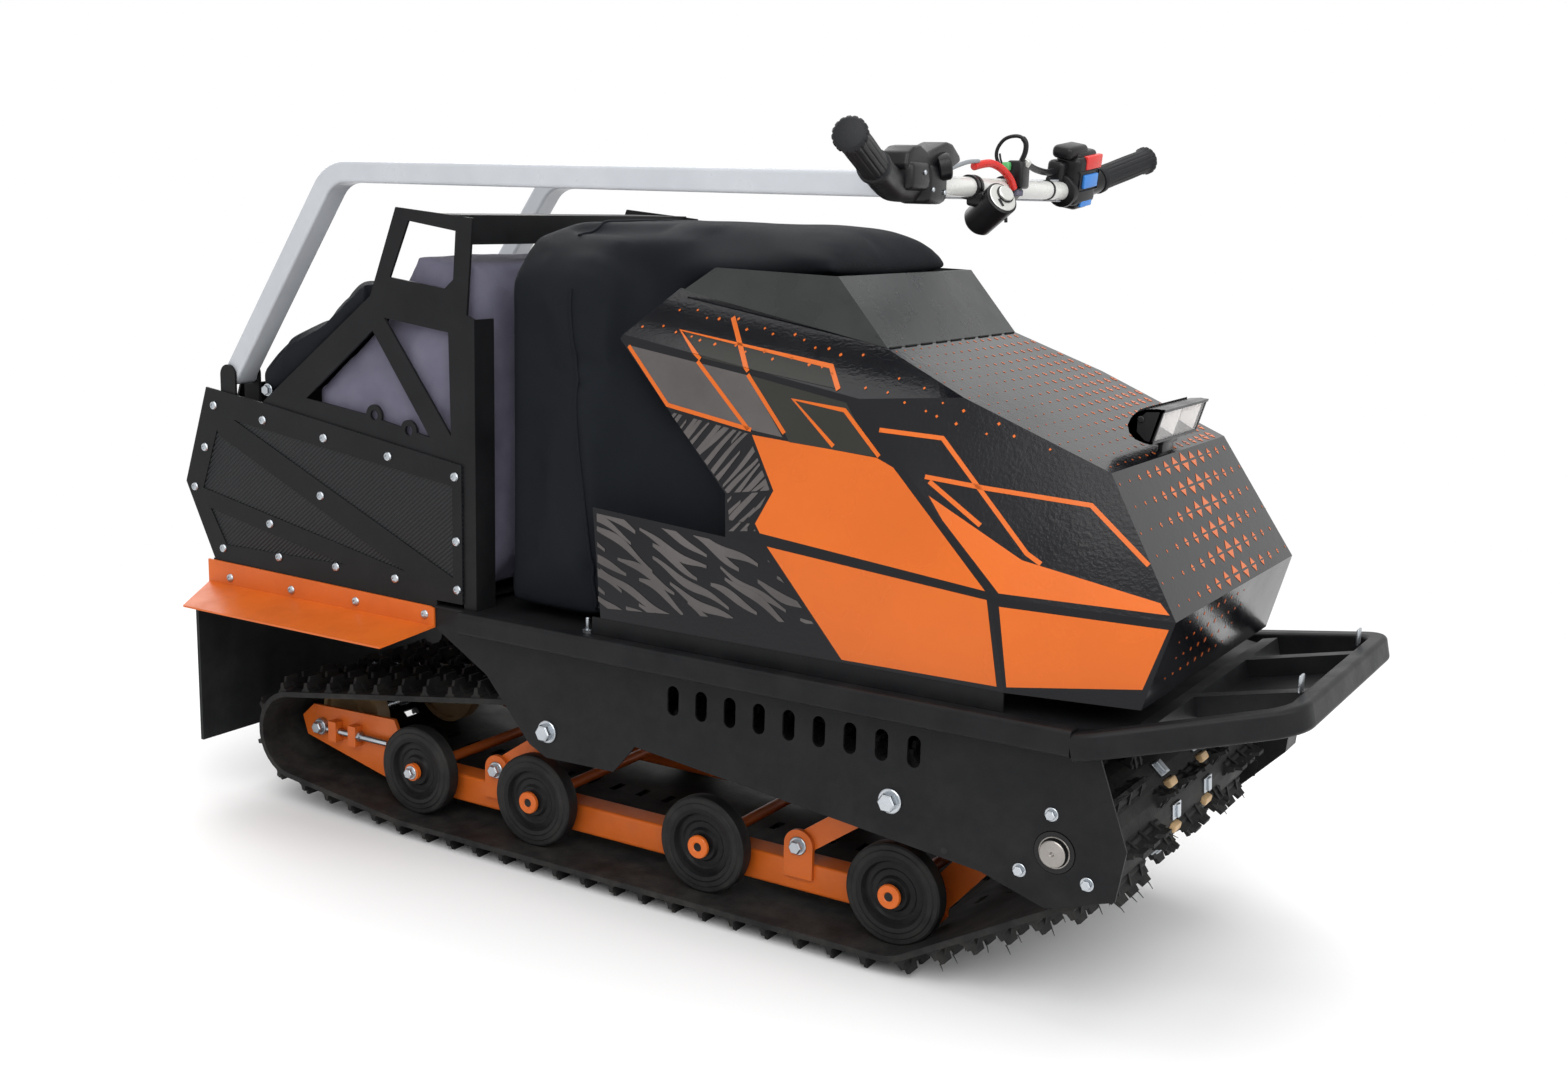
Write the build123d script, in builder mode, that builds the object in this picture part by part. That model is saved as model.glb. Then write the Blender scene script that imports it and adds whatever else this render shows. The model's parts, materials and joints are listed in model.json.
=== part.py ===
"""Tracked snow tug: a one-track machine that tows a sled, with a folding steering frame.

Millimetres. +X is forward, +Y is left, +Z is up. The origin is on the ground, midway
along the machine and on its centre plane. The steering frame is folded forward.
"""
import os
from math import atan2, cos, degrees, hypot, radians, sin

from build123d import *

os.makedirs("parts", exist_ok=True)

# Chassis
PLATE_T = 3.0
BODY_HALF = 270.0
PLATE_TOP = 376.0
DECK_T = 3.0
DECK_REAR = -329.0
DECK_FRONT = 690.0
SEAT = 0.3

# Track and its running gear
TRACK_W = 2 * BODY_HALF - 40.0
BELT_T = 8.0
LUG_H = 22.0
LUG_ROOT = 18.0
LUG_TIP = 10.0
LUG_SINK = 1.0
PITCH_COUNT = 60
LUG_MIDDLE_HALF = 105.0
LUG_SIDE_IN = 125.0
LUG_SIDE_OUT = TRACK_W / 2 - 4.0
ROLLER_R = 67.5
ROLLER_W = 25.0
ROLLER_XS = (382.0, 91.0, -203.0, -428.0)
ROLLER_Y = TRACK_W / 2 - 46.5
ROLLER_RIM = 16.0
AXLE_R = 8.0
ROLLER_Z = LUG_H + BELT_T + ROLLER_R
DRIVE_X = 618.0
DRIVE_Z = 226.0
DRIVE_R = 64.0
SHAFT_R = 12.5
IDLER_X = -654.0
IDLER_Z = 118.0
IDLER_R = 62.0
IDLER_Y = ROLLER_Y - 93.5
RETURN_R = 30.0
REAR_BOLT_X = -129.0
REAR_BOLT_Z = 230.0
FRONT_BOLT_X = 403.0
FRONT_BOLT_Z = 243.0

# Suspension
RAIL_W = 40.0
RAIL_H = 42.0
RAIL_WALL = 3.0
RAIL_CORNER_R = 4.0
RAIL_Y = ROLLER_Y - 48.5
RAIL_Z = 71.0
RAIL_REAR = -520.0
RAIL_FRONT = 425.0
BRACKET_T = 6.0
ARM_W = 30.0
ARM_T = 12.0
REAR_EYE_X = -298.0
FRONT_EYE_X = 223.0
EYE_Z = 116.0

# Bumper
BUMPER_W = 25.0
BUMPER_H = 32.0
BUMPER_Y = BODY_HALF + BUMPER_W / 2 + 5.0
BUMPER_REAR_X = -261.0
BUMPER_BEND_X = 660.0
HOOD_NOSE = 729.0
BUMPER_NOSE_X = HOOD_NOSE + 132.5
BUMPER_NOSE_Y = BODY_HALF - 66.0
BUMPER_Z = PLATE_TOP - 9.0
BUMPER_NOSE_Z = BUMPER_Z + 45.0
BUMPER_BEND_R = 45.0
BUMPER_WALL = 3.0
BUMPER_CORNER_R = 6.0

# Hood
HOOD_T = 2.0
HOOD_BASE = PLATE_TOP + 28.0
CREASE_LOW_REAR = HOOD_BASE + 148.0
CREASE_LOW_FRONT = HOOD_BASE + 110.0
CREASE_X = 521.0
CREASE_REAR_X = -53.0
DEFLECTOR_T = 2.0

# Cargo box and arch
BOX_T = 3.0
BOX_SKIN_T = 1.5
BOX_FLOOR_Z = PLATE_TOP + 10.0
BOX_FRONT = -281.0
FRAME_TUBE = 40.0
FRAME_REAR = -790.0
ARCH_T = 4.0
POST_X = -258.0
POST_W = 40.0
FENDER_T = 3.0
FENDER_TIP_Y = BODY_HALF + 90.0
FLAP_T = 6.0
FLAP_HALF = BODY_HALF + 33.0
FLAP_LOW = 100.0

# Steering frame
PIVOT_X = -748.0
PIVOT_Z = 672.0
TUBE_Y = BODY_HALF - 28.0
TUBE_W = 40.0
TUBE_H = 30.0
TUBE_WALL = 2.5
TUBE_CORNER_R = 5.0
TUBE_TOP_Z = 976.0
TUBE_BEND_X = -532.0
TUBE_BEND_R = 60.0
PIN_R = 6.0
PIN_PLAY = 0.05
EAR_PLAY = 1.0
EAR_T = 5.0
BAR_R = 12.5
BAR_X = 366.0
BAR_Z = 976.0
BAR_BEND_Y = TUBE_Y + 27.0
GRIP_R = 20.0
GRIP_START = 62.0
GRIP_Y = BAR_BEND_Y + 176.0
GRIP_X = 414.0
GRIP_Z = 1025.0
GRIP_L = hypot(GRIP_X - BAR_X, GRIP_Y - BAR_BEND_Y, GRIP_Z - BAR_Z) - GRIP_START

SIDES = (("right", -1), ("left", 1))


def save(part, name):
    """Label a finished piece and write its STEP file."""
    part.label = name
    export_step(part, f"parts/{name}.step")


def mirror_pair(build, name):
    """Write the right-hand piece and its mirrored left-hand twin."""
    save(build.part, f"{name}_right")
    with BuildPart() as twin:
        add(mirror(build.part, about=Plane.XZ))
    save(twin.part, f"{name}_left")


# Track: a belt round its wheels, with cross lugs whose tips stand on the ground
# Each wheel of the loop: x, z, radius
LOOP_WHEELS = (
    (DRIVE_X, DRIVE_Z, DRIVE_R),
    (ROLLER_XS[0], ROLLER_Z, ROLLER_R),
    (ROLLER_XS[-1], ROLLER_Z, ROLLER_R),
    (IDLER_X, IDLER_Z, IDLER_R),
    (REAR_BOLT_X, REAR_BOLT_Z, RETURN_R),
)
with BuildSketch(Plane.XZ) as loop_inside:
    for x, z, r in LOOP_WHEELS:
        with Locations((x, z)):
            Circle(r)
    make_hull()
with BuildSketch(Plane.XZ) as loop_outside:
    add(loop_inside.sketch)
    offset(amount=BELT_T, kind=Kind.ARC)
belt_line = loop_outside.sketch.faces()[0].outer_wire()


def lug_row(first):
    """Lug profiles on every second pitch of the belt, from pitch number first."""
    with BuildSketch(Plane.XZ) as row:
        for pitch in range(first, PITCH_COUNT, 2):
            spot = belt_line.position_at(pitch / PITCH_COUNT)
            along = belt_line.tangent_at(pitch / PITCH_COUNT)
            turn = degrees(atan2(along.Z, along.X))
            out = 1 if loop_outside.sketch.faces()[0].is_inside(
                spot + Vector(along.Z, 0, -along.X)) else -1
            profile = (
                (-LUG_ROOT / 2, -out * LUG_SINK),
                (LUG_ROOT / 2, -out * LUG_SINK),
                (LUG_TIP / 2, out * LUG_H),
                (-LUG_TIP / 2, out * LUG_H),
            )
            with Locations(Location((spot.X, spot.Z), turn)):
                Polygon(*profile, align=None)
    return row


middle_lugs = lug_row(0)
side_lugs = lug_row(1)
with BuildPart() as track:
    with BuildSketch(Plane.XZ):
        add(loop_outside.sketch)
        add(loop_inside.sketch, mode=Mode.SUBTRACT)
    extrude(amount=TRACK_W / 2, both=True)
    extrude(middle_lugs.sketch, amount=LUG_MIDDLE_HALF, both=True)
    with BuildSketch(Plane.XZ.offset(LUG_SIDE_IN)):
        add(side_lugs.sketch)
    extrude(amount=LUG_SIDE_OUT - LUG_SIDE_IN)
    with BuildSketch(Plane.XZ.offset(-LUG_SIDE_OUT)):
        add(side_lugs.sketch)
    extrude(amount=LUG_SIDE_OUT - LUG_SIDE_IN)
save(track.part, "track")

# Chassis side plates: outline as x, z along the lower edge from the rear to the nose
PLATE_LOWER = (
    (DECK_REAR, 344.0),
    (-238.0, 292.0),
    (-161.0, 206.0),
    (-131.0, 192.0),
    (-16.0, 195.0),
    (19.0, 237.0),
    (45.0, 234.0),
    (300.0, 206.0),
    (527.0, 181.0),
    (610.0, 155.0),
    (694.0, 183.0),
    (704.0, 245.0),
    (656.0, PLATE_TOP),
)
SLOT_COUNT = 9
SLOT_FIRST_X = 80.0
SLOT_PITCH = 44.0
SLOT_Z = 311.0
SLOT_W = 18.0
SLOT_L = 40.0
BEARING_R = 26.0
with BuildPart() as side_plate:
    with BuildSketch(Plane.XZ.offset(BODY_HALF - PLATE_T)):
        Polygon((DECK_REAR, PLATE_TOP), *PLATE_LOWER, align=None)
        with Locations((DRIVE_X, DRIVE_Z)):
            Circle(BEARING_R, mode=Mode.SUBTRACT)
        for number in range(SLOT_COUNT):
            with Locations((SLOT_FIRST_X + number * SLOT_PITCH, SLOT_Z)):
                SlotOverall(SLOT_L, SLOT_W, rotation=90, mode=Mode.SUBTRACT)
    extrude(amount=PLATE_T)
mirror_pair(side_plate, "side_plate")

# Deck: one sheet on the plates, with a lip folded up along each side
DECK_HALF = BUMPER_Y - BUMPER_W / 2 - SEAT
LIP_H = HOOD_BASE - PLATE_TOP - SEAT
LIP_FRONT = CREASE_X + 23.0
with BuildPart() as deck:
    with BuildSketch(Plane.XY.offset(PLATE_TOP)):
        Polygon((DECK_REAR, -DECK_HALF), (BUMPER_BEND_X - 30, -DECK_HALF), (DECK_FRONT, 30 - DECK_HALF),
                (DECK_FRONT, DECK_HALF - 30), (BUMPER_BEND_X - 30, DECK_HALF), (DECK_REAR, DECK_HALF),
                align=None)
    extrude(amount=DECK_T)
    for name, side in SIDES:
        with Locations((CREASE_REAR_X, side * (BODY_HALF - DECK_T / 2), PLATE_TOP)):
            Box(LIP_FRONT - CREASE_REAR_X, DECK_T, LIP_H, align=(Align.MIN, Align.CENTER, Align.MIN))
save(deck.part, "deck")

# Cross members: square tubes below the deck, from plate to plate
MEMBER_H = 22.0
MEMBER_W = 30.0
MEMBER_XS = (-250.0, 150.0, 640.0)
INNER_HALF = BODY_HALF - PLATE_T
with BuildPart() as cross_members:
    with BuildSketch(Plane.XZ):
        with Locations(*[(x, PLATE_TOP - MEMBER_H / 2) for x in MEMBER_XS]):
            Rectangle(MEMBER_W, MEMBER_H)
            Rectangle(MEMBER_W - 2 * PLATE_T, MEMBER_H - 2 * PLATE_T, mode=Mode.SUBTRACT)
    extrude(amount=INNER_HALF, both=True)
save(cross_members.part, "cross_members")

# Rear frame: two tubes behind the plates that carry the box, the fenders and the hitch
FRAME_Z = BOX_FLOOR_Z - FRAME_TUBE / 2
with BuildPart() as rear_frame:
    for name, side in SIDES:
        with Locations(((FRAME_REAR + DECK_REAR) / 2, side * (BODY_HALF - FRAME_TUBE / 2), FRAME_Z)):
            Box(DECK_REAR - FRAME_REAR, FRAME_TUBE, FRAME_TUBE)
    with Locations((FRAME_REAR + FRAME_TUBE / 2, 0, FRAME_Z), (DECK_REAR - FRAME_TUBE / 2, 0, FRAME_Z)):
        Box(FRAME_TUBE, 2 * BODY_HALF, FRAME_TUBE)
save(rear_frame.part, "rear_frame")

# Tow hitch: a drilled tongue welded to the rear cross tube
HITCH_L = 86.0
HITCH_W = 60.0
HITCH_T = 12.0
HITCH_BORE_R = 8.0
HITCH_BORE_X = FRAME_REAR - HITCH_L + 20
HITCH_Z = FRAME_Z
with BuildPart() as tow_hitch:
    with BuildSketch(Plane.XY.offset(HITCH_Z - HITCH_T / 2)):
        with Locations((FRAME_REAR - HITCH_L / 2, 0)):
            Rectangle(HITCH_L, HITCH_W)
        with Locations((HITCH_BORE_X, 0)):
            Circle(HITCH_BORE_R, mode=Mode.SUBTRACT)
    extrude(amount=HITCH_T)
    corners = tow_hitch.edges().filter_by(Axis.Z).group_by(Axis.X)[0]
    fillet(corners, 18)
save(tow_hitch.part, "tow_hitch")

# Bumper: a side rail along each plate, and a nose hoop that rises to the front
HOOP_TILT = degrees(atan2(BUMPER_NOSE_Z - BUMPER_Z, BUMPER_NOSE_X - BUMPER_BEND_X))
HOOP_RUN = hypot(BUMPER_NOSE_X - BUMPER_BEND_X, BUMPER_NOSE_Z - BUMPER_Z)
hoop_cos = cos(radians(HOOP_TILT))
hoop_sin = sin(radians(HOOP_TILT))
hoop_plane = Plane(origin=(BUMPER_BEND_X, 0, BUMPER_Z), x_dir=(hoop_cos, 0, hoop_sin),
                   z_dir=(-hoop_sin, 0, hoop_cos))
HOOP_TAIL = 20.0
with BuildPart() as bumper_rail:
    with BuildLine(hoop_plane) as hoop_line:
        FilletPolyline((-HOOP_TAIL, -BUMPER_Y), (0, -BUMPER_Y), (HOOP_RUN, -BUMPER_NOSE_Y),
                       (HOOP_RUN, BUMPER_NOSE_Y), (0, BUMPER_Y), (-HOOP_TAIL, BUMPER_Y),
                       radius=BUMPER_BEND_R)
    with BuildSketch(Plane(origin=hoop_line.line @ 0, x_dir=(0, 1, 0), z_dir=hoop_line.line % 0)):
        RectangleRounded(BUMPER_W, BUMPER_H, BUMPER_CORNER_R)
        Rectangle(BUMPER_W - 2 * BUMPER_WALL, BUMPER_H - 2 * BUMPER_WALL, mode=Mode.SUBTRACT)
    sweep(transition=Transition.ROUND)
    with BuildSketch(Plane.YZ.offset(BUMPER_REAR_X)):
        with Locations(*[(side * BUMPER_Y, BUMPER_Z) for name, side in SIDES]):
            RectangleRounded(BUMPER_W, BUMPER_H, BUMPER_CORNER_R)
            Rectangle(BUMPER_W - 2 * BUMPER_WALL, BUMPER_H - 2 * BUMPER_WALL, mode=Mode.SUBTRACT)
    extrude(amount=BUMPER_BEND_X - HOOP_TAIL - BUMPER_REAR_X)
    with BuildSketch(Plane.YZ.offset(BUMPER_REAR_X)):
        with Locations(*[(side * BUMPER_Y, BUMPER_Z) for name, side in SIDES]):
            RectangleRounded(BUMPER_W, BUMPER_H, BUMPER_CORNER_R)
    extrude(amount=-BUMPER_WALL)
save(bumper_rail.part, "bumper_rail")

# Bumper braces: two tubes from the deck to the hoop, a cross tube and the sheet between
BRACE_Y = 103.0
BRACE_W = 20.0
BRACE_H = 25.0
BRACE_FRONT = HOOP_RUN - BUMPER_W / 2 - SEAT
BRACE_REAR = DECK_FRONT + SEAT - BUMPER_BEND_X
SHEET_T = 2.0
with BuildPart() as bumper_braces:
    with BuildSketch(hoop_plane.offset(-BRACE_H / 2)):
        for name, side in SIDES:
            with Locations(((BRACE_FRONT + BRACE_REAR) / 2 + 6, side * BRACE_Y)):
                Rectangle(BRACE_FRONT - BRACE_REAR - 12, BRACE_W)
        with Locations((BRACE_REAR + 12 + BRACE_W / 2, 0)):
            Rectangle(BRACE_W, 2 * (DECK_HALF - 40))
    extrude(amount=BRACE_H)
    with BuildSketch(hoop_plane.offset(-BRACE_H / 2)):
        with Locations(((BRACE_FRONT + BRACE_REAR) / 2 + 6, 0)):
            Rectangle(BRACE_FRONT - BRACE_REAR - 12, 2 * BRACE_Y)
    extrude(amount=SHEET_T)
save(bumper_braces.part, "bumper_braces")

# Engine: one plain block on the deck, under the hood
ENGINE_X = 330.0
ENGINE_L = 280.0
ENGINE_W = 300.0
ENGINE_H = 240.0
DECK_Z = PLATE_TOP + DECK_T
with BuildPart() as engine_block:
    with Locations((ENGINE_X, 0, DECK_Z)):
        Box(ENGINE_L, ENGINE_W, ENGINE_H, align=(Align.CENTER, Align.CENTER, Align.MIN))
save(engine_block.part, "engine_block")

# Hood: flat facets between these right-hand corners (x, distance from the centre, z)
LOW_REAR = (CREASE_REAR_X, BODY_HALF, CREASE_LOW_REAR)
LOW_FRONT = (CREASE_X, BODY_HALF, CREASE_LOW_FRONT)
NOSE_LOW = (HOOD_NOSE, BODY_HALF - 38, HOOD_BASE + 104)
NOSE_TOP = (633.0, BODY_HALF - 65, HOOD_BASE + 258)
NOSE_FOOT = (704.0, BODY_HALF - 30, HOOD_BASE + 16)
SKIRT_FOOT = (LIP_FRONT, BODY_HALF, HOOD_BASE)
CREST_FRONT = (308.0, BODY_HALF - 25, HOOD_BASE + 323)
CREST_REAR = (-31.0, BODY_HALF - 22, HOOD_BASE + 368)
BEND_FRONT = (332.0, BODY_HALF - 81, HOOD_BASE + 377)
BEND_REAR = (18.0, BODY_HALF - 65, HOOD_BASE + 434)
HOOD_CEILING = HOOD_BASE + 500
HOOD_CELLAR = HOOD_BASE - 60
HOOD_NOSE_X = NOSE_LOW[0] + 30
HOOD_HEART_X = 250.0


def facet(a, b, c, side):
    """Plane through three corners, its normal away from the middle of the hood."""
    pa, pb, pc = (Vector(x, side * y, z) for x, y, z in (a, b, c))
    normal = (pb - pa).cross(pc - pa).normalized()
    if normal.dot(pa - Vector(HOOD_HEART_X, 0, HOOD_BASE + 96)) < 0:
        normal = -normal
    return Plane(origin=pa, z_dir=normal)


# Facets of one side, each by three of its corners
SIDE_FACETS = (
    (LOW_REAR, LOW_FRONT, CREST_FRONT),
    (LOW_FRONT, NOSE_LOW, NOSE_TOP),
    (LOW_FRONT, NOSE_LOW, SKIRT_FOOT),
    (CREST_REAR, CREST_FRONT, BEND_FRONT),
)


def hood_body(inset):
    """The whole faceted hood, each facet moved inwards by inset."""
    with BuildPart() as body:
        with BuildSketch(Plane.XZ):
            Polygon((CREASE_REAR_X, HOOD_CELLAR), (HOOD_NOSE_X, HOOD_CELLAR), (HOOD_NOSE_X, HOOD_CEILING),
                    (CREASE_REAR_X, HOOD_CEILING), align=None)
        extrude(amount=BODY_HALF - inset, both=True)
        for name, side in SIDES:
            for a, b, c in SIDE_FACETS:
                split(bisect_by=facet(a, b, c, side).offset(-inset), keep=Keep.BOTTOM)
        centre_facets = (
            (BEND_REAR, BEND_FRONT),
            (BEND_FRONT, NOSE_TOP),
            (NOSE_TOP, NOSE_LOW),
            (NOSE_LOW, NOSE_FOOT),
        )
        for a, b in centre_facets:
            mirrored = (b[0], -b[1], b[2])
            split(bisect_by=facet(a, b, mirrored, 1).offset(-inset), keep=Keep.BOTTOM)
    return body


def crease_z(x):
    """Height of the lower crease, which is the skirt's top edge, at x."""
    share = (x - CREASE_REAR_X) / (CREASE_X - CREASE_REAR_X)
    return CREASE_LOW_REAR + share * (CREASE_LOW_FRONT - CREASE_LOW_REAR)


hood_outside = hood_body(0)
hood_inside = hood_body(HOOD_T)
# Rear edge of the hood as x, z, with the notch where the cover shows
NOTCH_X = 156.0
HOOD_REAR_EDGE = (
    (CREST_REAR[0], CREST_REAR[2]),
    (NOTCH_X - 6, crease_z(NOTCH_X) + 54),
    (NOTCH_X, crease_z(NOTCH_X)),
    (CREASE_REAR_X, CREASE_LOW_REAR),
    (CREASE_REAR_X + 14, HOOD_BASE),
)
HOOD_TAIL_X = CREASE_REAR_X - 7
with BuildPart() as hood_shell:
    add(hood_outside.part)
    add(hood_inside.part, mode=Mode.SUBTRACT)
    with BuildSketch(Plane.XZ):
        Polygon((HOOD_TAIL_X, HOOD_CELLAR), (HOOD_NOSE_X, HOOD_CELLAR), (HOOD_NOSE_X, HOOD_BASE),
                (HOOD_TAIL_X, HOOD_BASE), align=None)
    extrude(amount=BODY_HALF + 10, both=True, mode=Mode.SUBTRACT)
    with BuildSketch(Plane.XZ):
        Polygon((HOOD_TAIL_X, HOOD_CELLAR), *reversed(HOOD_REAR_EDGE), (BEND_REAR[0], BEND_REAR[2]),
                (BEND_REAR[0], HOOD_CEILING), (HOOD_TAIL_X, HOOD_CEILING), align=None)
    extrude(amount=BODY_HALF + 10, both=True, mode=Mode.SUBTRACT)
with BuildPart() as hood_top:
    add(hood_shell.part)
    with BuildSketch(Plane.XZ):
        Polygon((HOOD_TAIL_X, HOOD_CELLAR), (HOOD_NOSE_X, HOOD_CELLAR), (HOOD_NOSE_X, NOSE_LOW[2]),
                (LOW_FRONT[0], LOW_FRONT[2]), (HOOD_TAIL_X, LOW_REAR[2]), align=None)
    extrude(amount=BODY_HALF + 10, both=True, mode=Mode.SUBTRACT)
with BuildPart() as hood_skirt:
    add(hood_shell.part)
    add(hood_top.part, mode=Mode.SUBTRACT)
save(hood_top.part, "hood_top")
save(hood_skirt.part, "hood_skirt")

# Deflector: a bent sheet on the hood's bend, a front face with two cheeks
DEFLECT_TOP = (260.0, BEND_FRONT[1] - 1, BEND_FRONT[2] + 83)
CHEEK_REAR_TOP = (79.0, BEND_FRONT[1] - 1, BEND_REAR[2] + 29)
CHEEK_REAR_LOW = (30.0, BEND_FRONT[1] - 1)
bend_slope = (BEND_REAR[2] - BEND_FRONT[2]) / (BEND_REAR[0] - BEND_FRONT[0])
cheek_rear_z = BEND_FRONT[2] + bend_slope * (CHEEK_REAR_LOW[0] - BEND_FRONT[0])
cheek = ((BEND_FRONT[0], BEND_FRONT[2] + SEAT), (DEFLECT_TOP[0], DEFLECT_TOP[2]),
         (CHEEK_REAR_TOP[0], CHEEK_REAR_TOP[2]), (CHEEK_REAR_LOW[0], cheek_rear_z + SEAT))
with BuildPart() as deflector:
    with BuildSketch(Plane.XZ):
        Polygon(*cheek, align=None)
    extrude(amount=DEFLECT_TOP[1], both=True)
    with BuildSketch(Plane.XZ):
        with Locations((-DEFLECTOR_T - 1, 0)):
            Polygon(*cheek, align=None)
        Polygon((0, BEND_FRONT[2] - 81), (cheek[0][0] - 6, cheek[0][1] - 40), (cheek[0][0] - 6, cheek[0][1]),
                cheek[3], (0, cheek[3][1]), align=None)
        Polygon((0, cheek[3][1]), cheek[3], (cheek[2][0], HOOD_CEILING), (0, HOOD_CEILING), align=None)
        Polygon((cheek[1][0] - 4, HOOD_CEILING), (cheek[1][0] - 4, cheek[1][1] - 4),
                (cheek[3][0] + 10, cheek[3][1]), (cheek[3][0] + 10, HOOD_CEILING), align=None)
    extrude(amount=DEFLECT_TOP[1] - DEFLECTOR_T, both=True, mode=Mode.SUBTRACT)
save(deflector.part, "deflector")

# Lamp: a finned housing with two square lenses, on a bracket on the hood's nose
LAMP_X = 628.0
LAMP_Z = NOSE_TOP[2] + 40
LAMP_W = 160.0
LAMP_H = 42.0
LAMP_D = 34.0
LENS_W = 66.0
LENS_H = 32.0
LENS_T = 4.0
FIN_COUNT = 7
FIN_T = 3.0
FIN_D = 12.0
FOOT_T = 3.0
FOOT_W = 40.0
nose_slope = (NOSE_TOP[2] - BEND_FRONT[2]) / (NOSE_TOP[0] - BEND_FRONT[0])
foot_z = BEND_FRONT[2] + nose_slope * (LAMP_X - 4 - FOOT_T - BEND_FRONT[0]) + SEAT
with BuildPart() as lamp_housing:
    with Locations((LAMP_X, 0, LAMP_Z)):
        Box(LAMP_D, LAMP_W, LAMP_H)
    fillet(lamp_housing.edges().filter_by(Axis.X), 6)
    with Locations(*[(LAMP_X + LAMP_D / 2, side * (LENS_W / 2 + 4), LAMP_Z) for name, side in SIDES]):
        Box(2 * LENS_T, LENS_W, LENS_H, mode=Mode.SUBTRACT)
    with Locations(*[(LAMP_X - LAMP_D / 2 - FIN_D / 2, (number - (FIN_COUNT - 1) / 2) * 20, LAMP_Z)
                     for number in range(FIN_COUNT)]):
        Box(FIN_D, FIN_T, LAMP_H - 8)
    with Locations((LAMP_X - 4, 0, foot_z)):
        Box(FOOT_T * 2, FOOT_W, LAMP_Z - foot_z - LAMP_H / 4, align=(Align.CENTER, Align.CENTER, Align.MIN))
save(lamp_housing.part, "lamp_housing")
with BuildPart() as lamp_lenses:
    with Locations(*[(LAMP_X + LAMP_D / 2 - LENS_T / 2, side * (LENS_W / 2 + 4), LAMP_Z)
                     for name, side in SIDES]):
        Box(LENS_T, LENS_W - 2 * SEAT, LENS_H - 2 * SEAT)
save(lamp_lenses.part, "lamp_lenses")

# Engine cover: fabric over the engine, tucked inside the hood's rear edge
COVER_REAR = -238.0
COVER_SPLIT = -62.0
COVER_FRONT = 12.0
COVER_TOE = ENGINE_X - ENGINE_L / 2 - 10
COVER_TOP = BEND_REAR[2] + 77
COVER_HALF = BODY_HALF - 20
COVER_NECK = BODY_HALF - 48
# Bays of the cover: rear x, front x, half width, shoulder z, half width on top, top z
COVER_BAYS = (
    (COVER_REAR, COVER_SPLIT, COVER_HALF, COVER_TOP - 65, COVER_HALF - 60, COVER_TOP - 3),
    (COVER_SPLIT, COVER_FRONT, COVER_NECK, COVER_TOP - 215, COVER_NECK - 72, COVER_TOP),
    (COVER_FRONT, COVER_TOE, COVER_NECK, COVER_TOP - 255, COVER_NECK - 22, COVER_TOP - 215),
)
TONGUE_LOW = BEND_REAR[2] + 7
TONGUE_X = DEFLECT_TOP[0] - 10
TONGUE_HALF = DEFLECT_TOP[1] - 10
TONGUE_CROWN = 75.0
TONGUE_SIDE_Z = COVER_TOP - 40
with BuildPart() as tongue:
    with BuildSketch(Plane.XZ):
        Polygon((COVER_FRONT - 5, TONGUE_LOW), (TONGUE_X, TONGUE_LOW + 3), (TONGUE_X, COVER_TOP - 42),
                (TONGUE_X - 12, COVER_TOP - 18), (TONGUE_X - 70, COVER_TOP), (COVER_FRONT - 5, COVER_TOP),
                align=None)
    extrude(amount=TONGUE_HALF, both=True)
    with BuildSketch(Plane.YZ.offset(COVER_FRONT - 5)):
        Polygon((-TONGUE_HALF, TONGUE_LOW - 5), (TONGUE_HALF, TONGUE_LOW - 5), (TONGUE_HALF, TONGUE_SIDE_Z),
                (TONGUE_HALF - TONGUE_CROWN, COVER_TOP), (TONGUE_CROWN - TONGUE_HALF, COVER_TOP),
                (-TONGUE_HALF, TONGUE_SIDE_Z), align=None)
    extrude(amount=TONGUE_X - COVER_FRONT + 5, mode=Mode.INTERSECT)
with BuildPart() as engine_cover:
    for rear, front, half, shoulder, top_half, top in COVER_BAYS:
        with BuildSketch(Plane.YZ.offset(rear)):
            Polygon((-half, DECK_Z + SEAT), (half, DECK_Z + SEAT), (half, shoulder), (top_half, top),
                    (-top_half, top), (-half, shoulder), align=None)
        extrude(amount=front - rear)
    add(tongue.part)
save(engine_cover.part, "engine_cover")

# Cargo box: side panels with a folded rear wall and a floor
# Side outline as x, z
BOX_OUTLINE = (
    (-793.0, BOX_FLOOR_Z + 265),
    (-846.0, BOX_FLOOR_Z + 115),
    (-787.0, BOX_FLOOR_Z),
    (BOX_FRONT, BOX_FLOOR_Z),
    (BOX_FRONT, BOX_FLOOR_Z + 197),
    (-662.0, BOX_FLOOR_Z + 250),
)
# Windows between the frame's bars, as x and height above the floor
BOX_WINDOWS = (
    ((-735.0, 220.0), (-298.0, 167.0), (-298.0, 36.0)),
    ((-772.0, 202.0), (-764.0, 192.0), (-389.0, 33.0), (-808.0, 108.0)),
    ((-793.0, 78.0), (-760.0, 24.0), (-505.0, 27.0)),
)
with BuildPart() as box_side:
    with BuildSketch(Plane.XZ.offset(BODY_HALF - BOX_SKIN_T)):
        Polygon(*BOX_OUTLINE, align=None)
        for window in BOX_WINDOWS:
            Polygon(*[(x, BOX_FLOOR_Z + rise) for x, rise in window], align=None, mode=Mode.SUBTRACT)
    extrude(amount=BOX_SKIN_T)
mirror_pair(box_side, "box_side")
with BuildPart() as box_lining:
    with BuildSketch(Plane.XZ.offset(INNER_HALF)):
        Polygon(*BOX_OUTLINE, align=None)
    extrude(amount=BOX_T - BOX_SKIN_T)
mirror_pair(box_lining, "box_lining")
WALL_NOTCH_Y = TUBE_Y - 37
WALL_NOTCH_Z = BOX_FLOOR_Z + 234
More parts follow.
